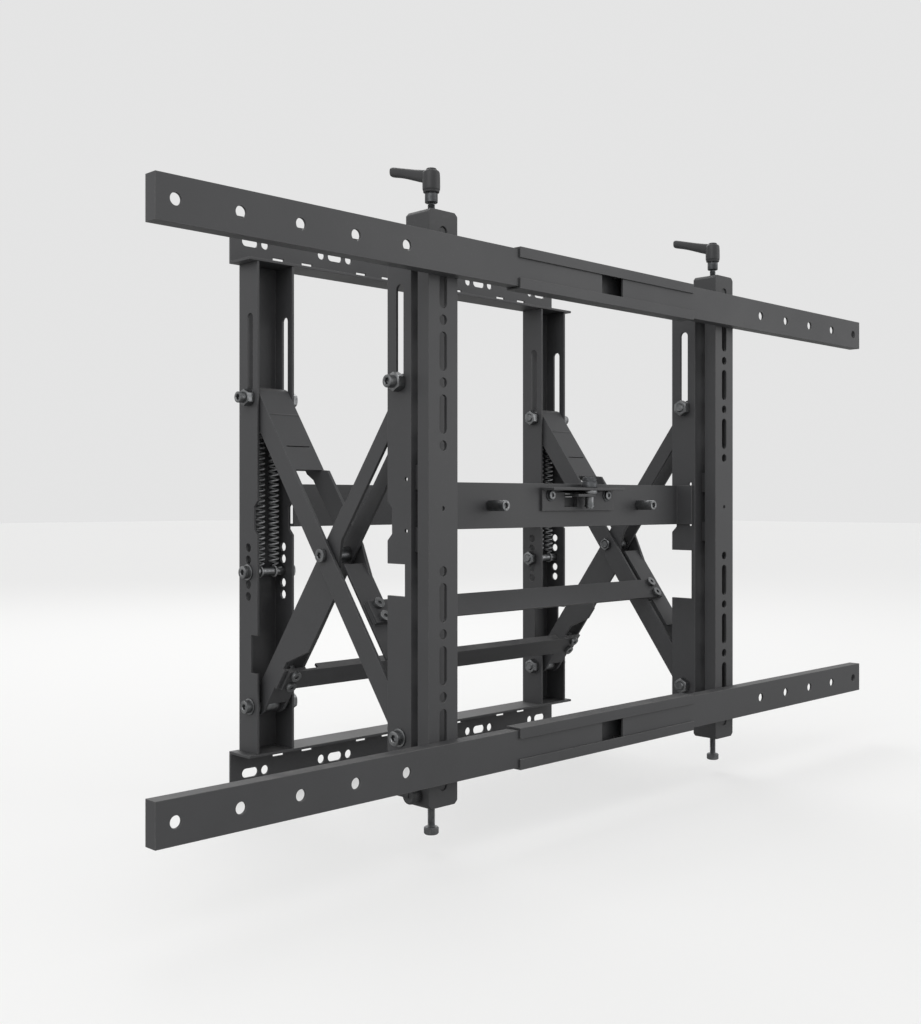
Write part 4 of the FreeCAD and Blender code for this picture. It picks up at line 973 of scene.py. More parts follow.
@dataclass(frozen=True)
class HexNut:
    """A hexagon nut with both faces chamfered to a cone.

    Attributes:
        corner: Width across its corners.
        height: Its height.
        bore: Radius of its hole.
        lead: How far the hole is broken at each face.
        face_share: The flat face's radius, as a share of the distance to a side.
        slope: Angle of the cone in degrees.
    """

    corner: float
    height: float
    bore: float
    lead: float = 0.5 * MM
    face_share: float = 0.94
    slope: float = 30.0

    def draw(self, shape: Shape, place: Matrix) -> None:
        """Draws the nut upwards from its lower face.

        Args:
            shape: The mesh that it goes into.
            place: The placement of its lower face.
        """
        side = hexagon(self.corner)
        face = self.corner / 2 * math.cos(math.pi / 6) * self.face_share
        slope = math.tan(math.radians(self.slope))
        shape.turned([(self.bore + self.lead, 0.0), (face, 0.0), (side, lambda a: (side(a) - face) * slope),
                      (side, lambda a: self.height - (side(a) - face) * slope), (face, self.height),
                      (self.bore + self.lead, self.height), (self.bore, self.height - self.lead),
                      (self.bore, self.lead)], place, closed=True)


@dataclass(frozen=True)
class Collar:
    """A washer or a sleeve: a ring with its edges broken.

    Attributes:
        radius: Its outer radius.
        length: Its length.
        bore: Radius of its hole.
        edge: How far its outer edges are broken, where the length allows it.
    """

    radius: float
    length: float
    bore: float
    edge: float = 0.35 * MM

    def draw(self, shape: Shape, place: Matrix) -> None:
        """Draws the ring upwards from its lower face.

        Args:
            shape: The mesh that it goes into.
            place: The placement of its lower face.
        """
        edge = min(self.edge, self.length / 4)
        lip, face, rim = self.bore + edge / 2, self.radius - edge, self.radius - edge * 0.3
        shape.turned([(lip, 0.0), (face, 0.0), (rim, edge * 0.3), (self.radius, edge),
                      (self.radius, self.length - edge), (rim, self.length - edge * 0.3), (face, self.length),
                      (lip, self.length), (self.bore, self.length - edge / 2), (self.bore, edge / 2)],
                     place, closed=True)


@dataclass(frozen=True)
class SocketBolt:
    """A pin with a round head, a hexagon socket and a threaded tip.

    Attributes:
        head: The head's radius.
        head_length: The head's length.
        shaft: The pin's radius.
        length: The whole length.
        socket: The socket's width across corners.
        socket_depth: How deep the socket is.
        edge: How far the head's edge is rounded.
        thread: Length of the threaded tip.
        thread_depth: How far the crests stand out.
        pitch: Length of one turn of thread.
    """

    head: float
    head_length: float
    shaft: float
    length: float
    socket: float
    socket_depth: float = 3.0 * MM
    edge: float = 0.6 * MM
    thread: float = 9.0 * MM
    thread_depth: float = 0.55 * MM
    pitch: float = 1.25 * MM

    def draw(self, shape: Shape, place: Matrix) -> None:
        """Draws the bolt from the face of its head to its tip.

        Args:
            shape: The mesh that it goes into.
            place: The placement of its head's face.
        """
        edge = self.edge
        side = hexagon(self.socket)
        mouth = self.socket / 2 + 0.3 * MM
        core = self.shaft - self.thread_depth
        profile: list[tuple[Radial, Radial]] = [
            (self.socket * 0.12, self.socket_depth + 0.6 * MM), (side, self.socket_depth), (side, 0.45 * MM),
            (mouth, 0.0), (self.head - edge, 0.0), (self.head - edge * 0.3, edge * 0.3), (self.head, edge),
            (self.head, self.head_length - 0.3 * MM), (self.head - 0.3 * MM, self.head_length),
            (self.shaft + 0.2 * MM, self.head_length), (self.shaft, self.head_length + 0.3 * MM)]
        start = self.length - self.thread
        profile += [(self.shaft, start), (core, start + self.pitch / 2)]
        turns = int((self.thread - self.pitch) / self.pitch)
        for turn in range(turns):
            low = start + (turn + 0.5) * self.pitch
            profile += thread_turn(core, self.shaft, low, self.pitch, 0.08, 0.92)
        profile += [(self.shaft - 0.2 * MM, self.length - 0.8 * MM), (core, self.length)]
        shape.turned(profile, place)


@dataclass
class PinSets:
    """The bolts, nuts, washers and sleeves at the arms' pins and the springs' anchors.

    Attributes:
        shop: Where the pieces go.
        pin: Radius of every pin.
        bore: Radius of the holes in nuts, washers and sleeves.
        nut_corners: How much wider across corners than across flats a solid is that counts as a nut.
        sets: Each set's name, with its bolts' head radius, head length and socket width in millimetres.
    """

    shop: Workshop
    pin: float = 4.0 * MM
    bore: float = 4.15 * MM
    nut_corners: float = 0.8 * MM
    sets: tuple[tuple[str, float, float, float], ...] = (
        ("rear_slide", 5.25, 6.2, 5.8), ("front_slide", 5.25, 6.2, 5.8), ("rear_pivot", 6.0, 5.5, 5.8),
        ("front_pivot", 6.0, 5.5, 5.8), ("crossing", 6.0, 4.0, 5.8), ("spring_anchor", 6.0, 5.5, 5.8))

    def bolts(self, node: str, head: float, head_length: float, socket: float) -> None:
        """Replaces a node's bolts, heads outwards.

        Args:
            node: The bolts' node.
            head: Radius of their heads in millimetres.
            head_length: Length of their heads in millimetres.
            socket: Width of their sockets across corners in millimetres.
        """
        shape = Shape()
        for solid in self.shop.solids(node):
            bolt = SocketBolt(head * MM, head_length * MM, self.pin, solid.size.x, socket * MM)
            bolt.draw(shape, solid.inward())
        self.shop.fit(node, shape.data(node), ZINC)

    def rings(self, node: str) -> None:
        """Replaces a node's nuts, washers and sleeves.

        Args:
            node: The node.
        """
        shape = Shape()
        corner_up = Matrix.Rotation(math.radians(30), 4, "Z")
        for solid in self.shop.solids(node):
            if solid.size.z - solid.size.y > self.nut_corners:
                nut = HexNut(solid.size.z, solid.size.x, self.bore)
                nut.draw(shape, solid.inward() @ corner_up)
            else:
                Collar(solid.size.z / 2, solid.size.x, self.bore).draw(shape, solid.inward())
        self.shop.fit(node, shape.data(node), ZINC)

    def build(self) -> int:
        """Builds every set.

        Returns:
            How many nodes it replaced.
        """
        count = 0
        for name, head, head_length, socket in self.sets:
            self.bolts(f"{name}_bolts", head, head_length, socket)
            for suffix in ("nuts", "sleeves"):
                if f"{name}_{suffix}" in self.shop.frame["nodes"]:
                    self.rings(f"{name}_{suffix}")
                    count += 1
            count += 1
        return count


@dataclass(frozen=True)
class CapScrew:
    """A screw with a knurled cap, a hexagon socket and a thread behind the cap.

    Attributes:
        radius: The cap's radius.
        length: The whole length.
        cap: The cap's length.
        socket: The socket's width across corners.
        shaft: Radius over the crests.
        depth: How deep the socket is.
        edge: How far the cap's edge is rounded.
        thread_depth: How far the crests stand out.
        pitch: Length of one turn of thread.
        flutes: How many flutes the knurling has.
        flute_depth: How deep they are.
    """

    radius: float
    length: float
    cap: float
    socket: float
    shaft: float
    depth: float = 2.6 * MM
    edge: float = 0.45 * MM
    thread_depth: float = 0.45 * MM
    pitch: float = 1.0 * MM
    flutes: int = 36
    flute_depth: float = 0.22 * MM

    def draw(self, shape: Shape, place: Matrix) -> None:
        """Draws the screw from the face of its cap to its tip.

        Args:
            shape: The mesh that it goes into.
            place: The placement of its cap's face.
        """
        side = hexagon(self.socket)
        rim = fluted(self.radius, self.flute_depth, self.flutes)
        edge = self.edge
        mouth = self.socket / 2 + 0.25 * MM
        core = self.shaft - self.thread_depth
        profile: list[tuple[Radial, Radial]] = [
            (self.socket * 0.12, self.depth + 0.5 * MM), (side, self.depth), (side, 0.35 * MM), (mouth, 0.0),
            (self.radius - edge, 0.0), (self.radius - edge * 0.3, edge * 0.3), (rim, edge + 0.5 * MM),
            (rim, self.cap - 0.5 * MM), (self.radius - 0.25 * MM, self.cap)]
        if self.length > self.cap + 2 * self.pitch:
            profile.append((core, self.cap))
            turns = int((self.length - self.cap - self.pitch) / self.pitch)
            for turn in range(turns):
                low = self.cap + (turn + 0.3) * self.pitch
                profile += thread_turn(core, self.shaft, low, self.pitch, 0.0, 0.9)
            profile.append((core - 0.3 * MM, self.length))
        else:
            profile[-1] = (self.radius - 0.25 * MM, self.length)
        shape.turned(profile, place, steps=self.flutes * 4)


@dataclass
class Screws:
    """The small screws: crossbar studs, latch fasteners, rail clamp screws and strip screws.

    Attributes:
        shop: Where the pieces go.
        stud_socket: Width across corners of a crossbar stud's socket.
        stud_shaft: Radius of its thread.
        pivot_length: The latch fastener that is longer than this is the pivot.
        shelf_drop: How far the bracket's shelf lies under the pivot's top in the frame.
        shelf_gauge: The shelf's gauge, with the room under it.
        crown_height: How far the pivot's button stands above the shelf.
        latch_cap: Length of a latch screw's cap.
        latch_socket: Width across corners of its socket.
        latch_shaft: Radius of its thread.
        latch_depth: How deep its socket is.
        clamp_cap: Length of a rail clamp screw's cap.
        clamp_socket: Width across corners of its socket.
        clamp_shaft: Radius of its thread.
        strip_rounding: Radius of the strip screws' edges in millimetres.
        strips: The nodes of the strip screws.
    """

    shop: Workshop
    stud_socket: float = 5.2 * MM
    stud_shaft: float = 3.9 * MM
    pivot_length: float = 20.0 * MM
    shelf_drop: float = 6.0 * MM
    shelf_gauge: float = 2.6 * MM
    crown_height: float = 10.5 * MM
    latch_cap: float = 2.1 * MM
    latch_socket: float = 3.8 * MM
    latch_shaft: float = 1.9 * MM
    latch_depth: float = 1.5 * MM
    clamp_cap: float = 4.0 * MM
    clamp_socket: float = 5.0 * MM
    clamp_shaft: float = 2.9 * MM
    strip_rounding: float = 0.3
    strips: tuple[str, ...] = ("outer_arm_strip_screws", "inner_arm_strip_screws")

    def studs(self) -> None:
        """Replaces the two socket screws that stand out of the front crossbar."""
        node = "crossbar_studs"
        shape = Shape()
        for solid in self.shop.solids(node):
            place = Facing.BACK.place(Vector((solid.centre.x, solid.low.y, solid.centre.z)))
            screw = CapScrew(solid.size.x / 2, solid.size.y, solid.size.y, self.stud_socket, self.stud_shaft)
            screw.draw(shape, place)
        self.shop.fit(node, shape.data(node), ZINC)

    def latch_pivot(self, shape: Shape, dark: Shape, solid: Extent) -> None:
        """Draws the latch's pivot: a tall button above the shelf, a collar and a bushing below it.

        Args:
            shape: The mesh of the plated pieces.
            dark: The mesh of the blackened pieces.
            solid: The pivot bolt's box in the frame.
        """
        axis = solid.centre
        column = Matrix.Translation((axis.x, axis.y, 0.0))
        shelf = solid.high.z - self.shelf_drop
        hook_low, hook_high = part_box("latch_hook")
        cap = solid.size.x / 2
        crown = shelf + self.crown_height
        dark.turned([(cap * 0.35, crown - 0.5 * MM), (cap * 0.6, crown - 0.2 * MM),
                     (cap * 0.78, crown - 0.7 * MM), (cap * 0.86, crown - 1.8 * MM),
                     (cap * 0.88, crown - 4.4 * MM), (cap * 0.94, crown - 4.9 * MM), (cap, crown - 5.8 * MM),
                     (cap, shelf + 0.5 * MM), (cap - 0.5 * MM, shelf + 0.05 * MM)], column)
        collar = Collar(cap * 0.98, shelf - self.shelf_gauge - hook_high.z, 2.6 * MM)
        collar.draw(shape, Matrix.Translation((axis.x, axis.y, hook_high.z + 0.05 * MM)))
        below = hook_low.z - 0.1 * MM
        bottom = solid.low.z
        shape.turned([(2.4 * MM, bottom), (3.2 * MM, bottom), (3.4 * MM, bottom + 0.3 * MM),
                      (3.4 * MM, bottom + 1.4 * MM), (4.7 * MM, bottom + 1.5 * MM),
                      (4.7 * MM, bottom + 3.2 * MM), (4.2 * MM, bottom + 3.4 * MM),
                      (4.2 * MM, below - 0.3 * MM), (3.9 * MM, below)], column)

    def latch(self) -> None:
        """Replaces the latch's pivot and the two screws, with their washers, that hold its plate."""
        node = "latch_fasteners"
        shape, dark = Shape(), Shape()
        washer = Collar(5.8 * MM, 0.85 * MM, 2.2 * MM)
        for solid in self.shop.solids(node):
            if solid.size.z > self.pivot_length:
                self.latch_pivot(shape, dark, solid)
                continue
            place = Facing.BACK.place(Vector((solid.centre.x, solid.low.y, solid.centre.z)))
            screw = CapScrew(solid.size.x / 2, solid.size.y, self.latch_cap, self.latch_socket,
                             self.latch_shaft, depth=self.latch_depth)
            screw.draw(shape, place)
            washer.draw(dark, place @ Matrix.Translation((0, 0, self.latch_cap)))
        self.shop.add("latch_washers", dark.data("latch_washers"), self.shop.body(node), DARK_STEEL)
        self.shop.fit(node, shape.data(node), ZINC)

    def rail_clamps(self) -> None:
        """Replaces the screws that clamp each rail to its upright."""
        node = "rail_clamp_screws"
        shape = Shape()
        for solid in self.shop.solids(node):
            place = Facing.FRONT.place(Vector((solid.centre.x, solid.high.y, solid.centre.z)))
            screw = CapScrew(solid.size.x / 2, solid.size.y, self.clamp_cap, self.clamp_socket,
                             self.clamp_shaft)
            screw.draw(shape, place)
        self.shop.fit(node, shape.data(node), ZINC)

    def build(self) -> int:
        """Builds every screw.

        Returns:
            How many nodes it replaced.
        """
        drawn = (self.studs, self.latch, self.rail_clamps)
        for draw in drawn:
            draw()
        for node in self.strips:
            self.shop.soften(node, ZINC, self.strip_rounding)
        return len(drawn) + len(self.strips)


# Springs.


@dataclass
class Springs:
    """The pairs of extension springs: open coils with a hook round the pin at each end.

    Attributes:
        shop: Where the pieces go.
        turns: Turns of the coil.
        step: Points in each turn.
        wire: The wire's radius.
        pin: Radius of the lower pin.
        sleeve: Radius of the sleeve on the upper pin.
        play: Room between a hook and what it holds.
        hook_points: Points round a hook.
        hook_start: Angle in degrees at which a hook starts.
        hook_step: Angle in degrees between its points.
        bridge_points: Steps in the run between a hook and the coil.
        swing: How far that run swings out.
    """

    shop: Workshop
    turns: int = 29
    step: int = 20
    wire: float = 0.8 * MM
    pin: float = 4.0 * MM
    sleeve: float = 7.0 * MM
    play: float = 0.12 * MM
    hook_points: int = 27
    hook_start: float = 62.0
    hook_step: float = 10.5
    bridge_points: int = 8
    swing: float = 2.2 * MM

    def hook(self, centre: Vector, radius: float, towards: float) -> list[Vector]:
        """Returns a round hook about a pin that lies along X.

        Args:
            centre: The pin's centre on the spring's own line.
            radius: The hook's radius to the wire's middle.
            towards: +1 where the coil lies above the pin, -1 where it lies below.

        Returns:
            Points from the coil's side round to the hook's open end.
        """
        points = []
        for i in range(self.hook_points):
            angle = math.radians(self.hook_start + i * self.hook_step) * towards
            points.append(centre + Vector((0, math.cos(angle) * radius, math.sin(angle) * radius)))
        return points

    def path(self, solid: Extent, anchor: Vector, slide: Vector) -> list[Vector]:
        """Lays the middle line of one spring, from its lower hook to its upper one.

        Args:
            solid: The spring's box in the frame.
            anchor: The centre of its lower pin.
            slide: The centre of its upper pin.

        Returns:
            The points of the line.
        """
        centre = solid.centre
        radius = solid.size.x / 2 - self.wire
        low, high = solid.low.z + 4 * self.wire, solid.high.z - 4 * self.wire
        coil = []
        for i in range(self.turns * self.step + 1):
            angle = 2 * math.pi * i / self.step
            coil.append(Vector((centre.x + radius * math.cos(angle), centre.y + radius * math.sin(angle),
                                low + (high - low) * i / (self.turns * self.step))))
        lower = self.hook(Vector((centre.x, anchor.y, anchor.z)), self.pin + self.wire + self.play, 1.0)
        upper = self.hook(Vector((centre.x, slide.y, slide.z)), self.sleeve + self.wire + self.play, -1.0)
        return list(reversed(lower)) + self.bridge(lower[0], coil[0], True) + coil + self.bridge(
            upper[0], coil[-1], False)[::-1] + upper

    def bridge(self, hook: Vector, coil: Vector, low: bool) -> list[Vector]:
        """Lays the short swept run between a hook and the coil.

        Args:
            hook: Where the hook begins.
            coil: Where the coil ends.
            low: Whether this is the spring's lower end.

        Returns:
            The points between the two.
        """
        lift = Vector((0, 0, 1 if low else -1)) * abs(coil.z - hook.z)
        swing = Vector((0, self.swing if low else -self.swing, 0))
        first = hook + lift * 0.55
        second = coil - swing - lift * 0.12
        points = []
        for i in range(1, self.bridge_points):
            t = i / self.bridge_points
            points.append(hook * (1 - t) ** 3 + first * 3 * t * (1 - t) ** 2 + second * 3 * t * t * (1 - t)
                          + coil * t ** 3)
        return points

    def build(self) -> int:
        """Builds both pairs.

        Returns:
            How many nodes it replaced.
        """
        anchors = self.shop.solids("spring_anchor_bolts")
        slides = self.shop.solids("rear_slide_bolts")
        for index, side in enumerate(Side):
            node = f"springs_{side.value}"
            shape = Shape()
            for solid in self.shop.solids(node):
                shape.tube(self.path(solid, anchors[index].centre, slides[index].centre), self.wire, 10)
            self.shop.fit(node, shape.data(node, 60.0), WIRE)
        return len(Side)


# Levers, thumb screws and knobs.


@dataclass
class Controls:
    """The hand controls: clamp levers on top, thumb screws and clamp knobs below.

    Attributes:
        shop: Where the pieces go.
        pitch: Length of one turn of thread.
        thread: Radius over the crests of the studs and the thumb screws.
        thread_depth: How far the crests stand out.
        neck: Height of a stud's collar.
        hub_radius: Radius of a lever's hub.
        hub_height: Height of a lever's hub.
        handle_drop: How far under the hub's top the handle starts.
        handle_blunt: How square the handle's section is.
        sections: Shares of the handle's length, with its half width and half height there in millimetres.
        thumb_head: Height of a thumb screw's head.
        thumb_flutes: Flutes round it.
        knob_radius: Radius of a side knob.
        knob_length: Length of its grip.
        knob_pin: Length of the grip and its pin together.
        knob_flutes: Flutes round it.
        tab_blunt: How square the tab's section is.
        tab_half: Half the tab's height in millimetres.
    """

    shop: Workshop
    pitch: float = 1.0 * MM
    thread: float = 3.0 * MM
    thread_depth: float = 0.45 * MM
    neck: float = 8.0 * MM
    hub_radius: float = 7.2 * MM
    hub_height: float = 20.0 * MM
    handle_drop: float = 6.8 * MM
    handle_blunt: float = 3.2
    sections: tuple[tuple[float, float, float], ...] = (
        (0.0, 3.6, 5.6), (0.14, 3.7, 5.5), (0.3, 3.4, 5.0), (0.5, 3.3, 4.5), (0.7, 3.6, 4.1),
        (0.88, 4.1, 4.2), (0.96, 4.1, 4.2), (0.99, 3.6, 3.8), (1.0, 2.9, 3.1))
    thumb_head: float = 6.0 * MM
    thumb_flutes: int = 30
    knob_radius: float = 7.0 * MM
    knob_length: float = 9.0 * MM
    knob_pin: float = 17.0 * MM
    knob_flutes: int = 24
    tab_blunt: float = 4.0
    tab_half: float = 2.2

    def threads(self, radius: float, low: float, high: float) -> list[tuple[Radial, Radial]]:
        """Lays a threaded run as close rings.

        Args:
            radius: Radius over the crests.
            low: Height at which the run starts.
            high: Height at which it ends.

        Returns:
            Radius and height of each ring.
        """
        core = radius - self.thread_depth
        rings: list[tuple[Radial, Radial]] = [(core, low)]
        for turn in range(int((high - low) / self.pitch)):
            rings += thread_turn(core, radius, low + turn * self.pitch, self.pitch, 0.1, 0.9)
        return rings

    def stud(self, side: Side) -> None:
        """Replaces a lever's threaded stud and its collar.

        Args:
            side: Which side of the mount.
        """
        node = f"lever_stud_{side.value}"
        low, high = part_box(node)
        centre = (low + high) / 2
        top = high.z - low.z
        collar, neck = (high.x - low.x) / 2, self.neck
        shape = Shape()
        profile: list[tuple[Radial, Radial]] = [(1.9 * MM, 0.0)]
        profile += self.threads(self.thread, 0.3 * MM, top - neck - 0.6 * MM)
        profile += [(2.7 * MM, top - neck), (collar - 0.5 * MM, top - neck), (collar, top - neck + 0.5 * MM),
                    (collar, top - 0.9 * MM), (collar - 0.4 * MM, top - 0.45 * MM), (collar - 0.4 * MM, top)]
        shape.turned(profile, Matrix.Translation((centre.x, centre.y, low.z)))
        self.shop.fit(node, shape.data(node), DARK_STEEL)

    def handle(self, shape: Shape, hub: Vector, tip: Vector) -> None:
        """Draws a lever's handle, which widens and turns up towards its end.

        Args:
            shape: The lever's mesh.
            hub: Where the handle starts, in the hub.
            tip: The middle of its free end.
        """
        rings = []
        run = tip - hub
        for along, wide, tall in self.sections:
            rise = along * along * (3 - 2 * along) * 0.35 + along * 0.65
            middle = hub + Vector((0, run.y * along, run.z * rise))
            rings.append([middle + Vector((across * wide * MM, 0, up * tall * MM))
                          for across, up in blunt_square(self.handle_blunt)])
        shape.skin(rings, Matrix.Identity(4))

    def lever(self, side: Side) -> None:
        """Replaces a clamp lever: a hub with a stepped top and its moulded handle.

        Args:
            side: Which side of the mount.
        """
        node, stud = f"clamp_lever_{side.value}", f"lever_stud_{side.value}"
        low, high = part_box(node)
        stud_low, stud_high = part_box(stud)
        centre = (stud_low + stud_high) / 2
        radius, height = self.hub_radius, self.hub_height
        foot = Vector((centre.x, centre.y, low.z))
        shape = Shape()
        shape.turned([(radius - 1.1 * MM, 0.0), (radius - 0.6 * MM, 0.5 * MM), (radius - 0.6 * MM, 2.0 * MM),
                      (radius - 0.15 * MM, 2.5 * MM), (radius, 3.4 * MM), (radius, 9.0 * MM),
                      (radius - 0.15 * MM, height - 4.2 * MM), (radius - 0.7 * MM, height - 2.7 * MM),
                      (radius - 1.9 * MM, height - 1.9 * MM), (radius - 2.6 * MM, height - 1.8 * MM),
                      (radius - 2.8 * MM, height - 1.5 * MM), (radius - 3.0 * MM, height - 0.4 * MM),
                      (radius - 3.5 * MM, height)], Matrix.Translation(foot))
        self.handle(shape, foot + Vector((0, 0, height - self.handle_drop)),
                    Vector((centre.x, high.y - 0.2 * MM, high.z - 2.6 * MM)))
        piece = self.shop.fit(node, shape.data(node, 50.0), PLASTIC)
        smooth = piece.modifiers.new("moulded", "SUBSURF")
        smooth.levels = smooth.render_levels = 2

    def thumb_screw(self, side: Side) -> None:
        """Replaces the knurled screw under a foot block.

        Args:
            side: Which side of the mount.
        """
        node = f"thumb_screw_{side.value}"
        low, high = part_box(node)
        centre = (low + high) / 2
        radius, head = (high.x - low.x) / 2, self.thumb_head
        rim = fluted(radius, 0.45 * MM, self.thumb_flutes)
        shape = Shape()
        profile: list[tuple[Radial, Radial]] = [
            (radius * 0.35, 0.25 * MM), (radius * 0.7, 0.0), (radius - 0.9 * MM, 0.0), (rim, 0.8 * MM),
            (rim, head - 0.8 * MM), (radius - 0.9 * MM, head), (3.4 * MM, head), (3.0 * MM, head + 0.4 * MM)]
        profile += self.threads(self.thread, head + 1.0 * MM, high.z - low.z - 0.8 * MM)
        profile.append((2.0 * MM, high.z - low.z))
        shape.turned(profile, Matrix.Translation((centre.x, centre.y, low.z)), steps=self.thumb_flutes * 4)
        self.shop.fit(node, shape.data(node), ZINC)

    def knob(self, side: Side) -> None:
        """Replaces the clamp knob on the outer side of a foot block.

        Args:
            side: Which side of the mount.
        """
        node = f"side_knob_{side.value}"
        low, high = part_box(node)
        out = side.out
        face = low.x if side is Side.LEFT else high.x
        stud_low, stud_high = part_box(f"lever_stud_{side.value}")
        axis_depth = (stud_low.y + stud_high.y) / 2
        middle = (low.z + high.z) / 2
        radius, length, pin = self.knob_radius, self.knob_length, self.knob_pin
        origin = Vector((face, axis_depth, middle))
        shape = Shape()
        rim = fluted(radius, 0.35 * MM, self.knob_flutes)
        shape.turned([(2.2 * MM, 1.0 * MM), (3.4 * MM, 1.0 * MM), (4.6 * MM, 0.35 * MM), (5.6 * MM, 0.0),
                      (radius - 0.6 * MM, 0.15 * MM), (rim, 1.2 * MM), (rim, length - 0.8 * MM),
                      (radius - 0.8 * MM, length), (2.5 * MM, length), (2.5 * MM, pin - 0.4 * MM),
                      (2.1 * MM, pin)], pointing(origin, Vector((-out, 0, 0))), steps=self.knob_flutes * 4)
        reach = high.y - axis_depth
        rings = []
        for along, scale in ((0.0, 0.8), (0.02, 1.0), (0.9, 1.0), (0.97, 0.86), (1.0, 0.55)):
            rings.append([Vector((face - out * (2.05 - 1.95 * across * scale) * MM,
                                  axis_depth + reach * along, middle + up * scale * self.tab_half * MM))
                          for across, up in blunt_square(self.tab_blunt)])
        shape.skin(rings, Matrix.Identity(4))
        self.shop.fit(node, shape.data(node, 40.0), PLASTIC)

    def build(self) -> int:
        """Builds the controls on both sides.

        Returns:
            How many nodes it replaced.
        """
        controls = (self.stud, self.lever, self.thumb_screw, self.knob)
        for side in Side:
            for control in controls:
                control(side)
        return len(controls) * len(Side)


# Sheet metal and castings.


@dataclass
class SheetMetal:
    """The folded steel: wall frame, arms, front frame, carriage arms and rails.

    Attributes:
        shop: Where the pieces go.
        rounding: Radius of a stout sheet's edges in millimetres.
        thin_share: A thin sheet's radius, as a share of that.
        thin: The nodes of thin sheet.
        stout: The nodes of stout sheet.
    """

    shop: Workshop
    rounding: float = 0.4
    thin_share: float = 0.7
    thin: tuple[str, ...] = (
        "rail_top_left", "rail_top_right", "rail_bottom_left", "rail_bottom_right", "rail_sleeve_top",
        "rail_sleeve_bottom", "latch_hook", "latch_bracket", "outer_arm_strip", "inner_arm_strip")
    stout: tuple[str, ...] = (
        "wall_rail_top", "wall_rail_bottom", "wall_upright_left", "wall_upright_right", "wall_crossbar",
        "outer_arm_left", "outer_arm_right", "inner_arm_left", "inner_arm_right", "front_upright_left",
        "front_upright_right", "front_crossbar", "screen_arm_left", "screen_arm_right", "rail_clamps")

    def build(self) -> int:
        """Dresses every sheet.

        Returns:
            How many nodes it replaced.
        """
        for node in self.stout:
            self.shop.soften(node, CHARCOAL, self.rounding)
        for node in self.thin:
            self.shop.soften(node, CHARCOAL, self.rounding * self.thin_share)
        return len(self.stout) + len(self.thin)


@dataclass
class Castings:
    """The head and foot blocks in the carriage arms and the pads that the arms glide on.

    Attributes:
        shop: Where the pieces go.
        pieces: Each node with its finish and the radius of its edges in millimetres.
    """

    shop: Workshop
    pieces: tuple[tuple[str, Finish, float], ...] = (
        ("head_blocks", CAST_COAT, 0.8), ("foot_blocks", CAST_COAT, 0.8), ("glide_pads", PLASTIC, 0.3))

    def build(self) -> int:
        """Dresses the blocks and pads.

        Returns:
            How many nodes it replaced.
        """
        for node, finish, rounding in self.pieces:
            self.shop.soften(node, finish, rounding)
        return len(self.pieces)


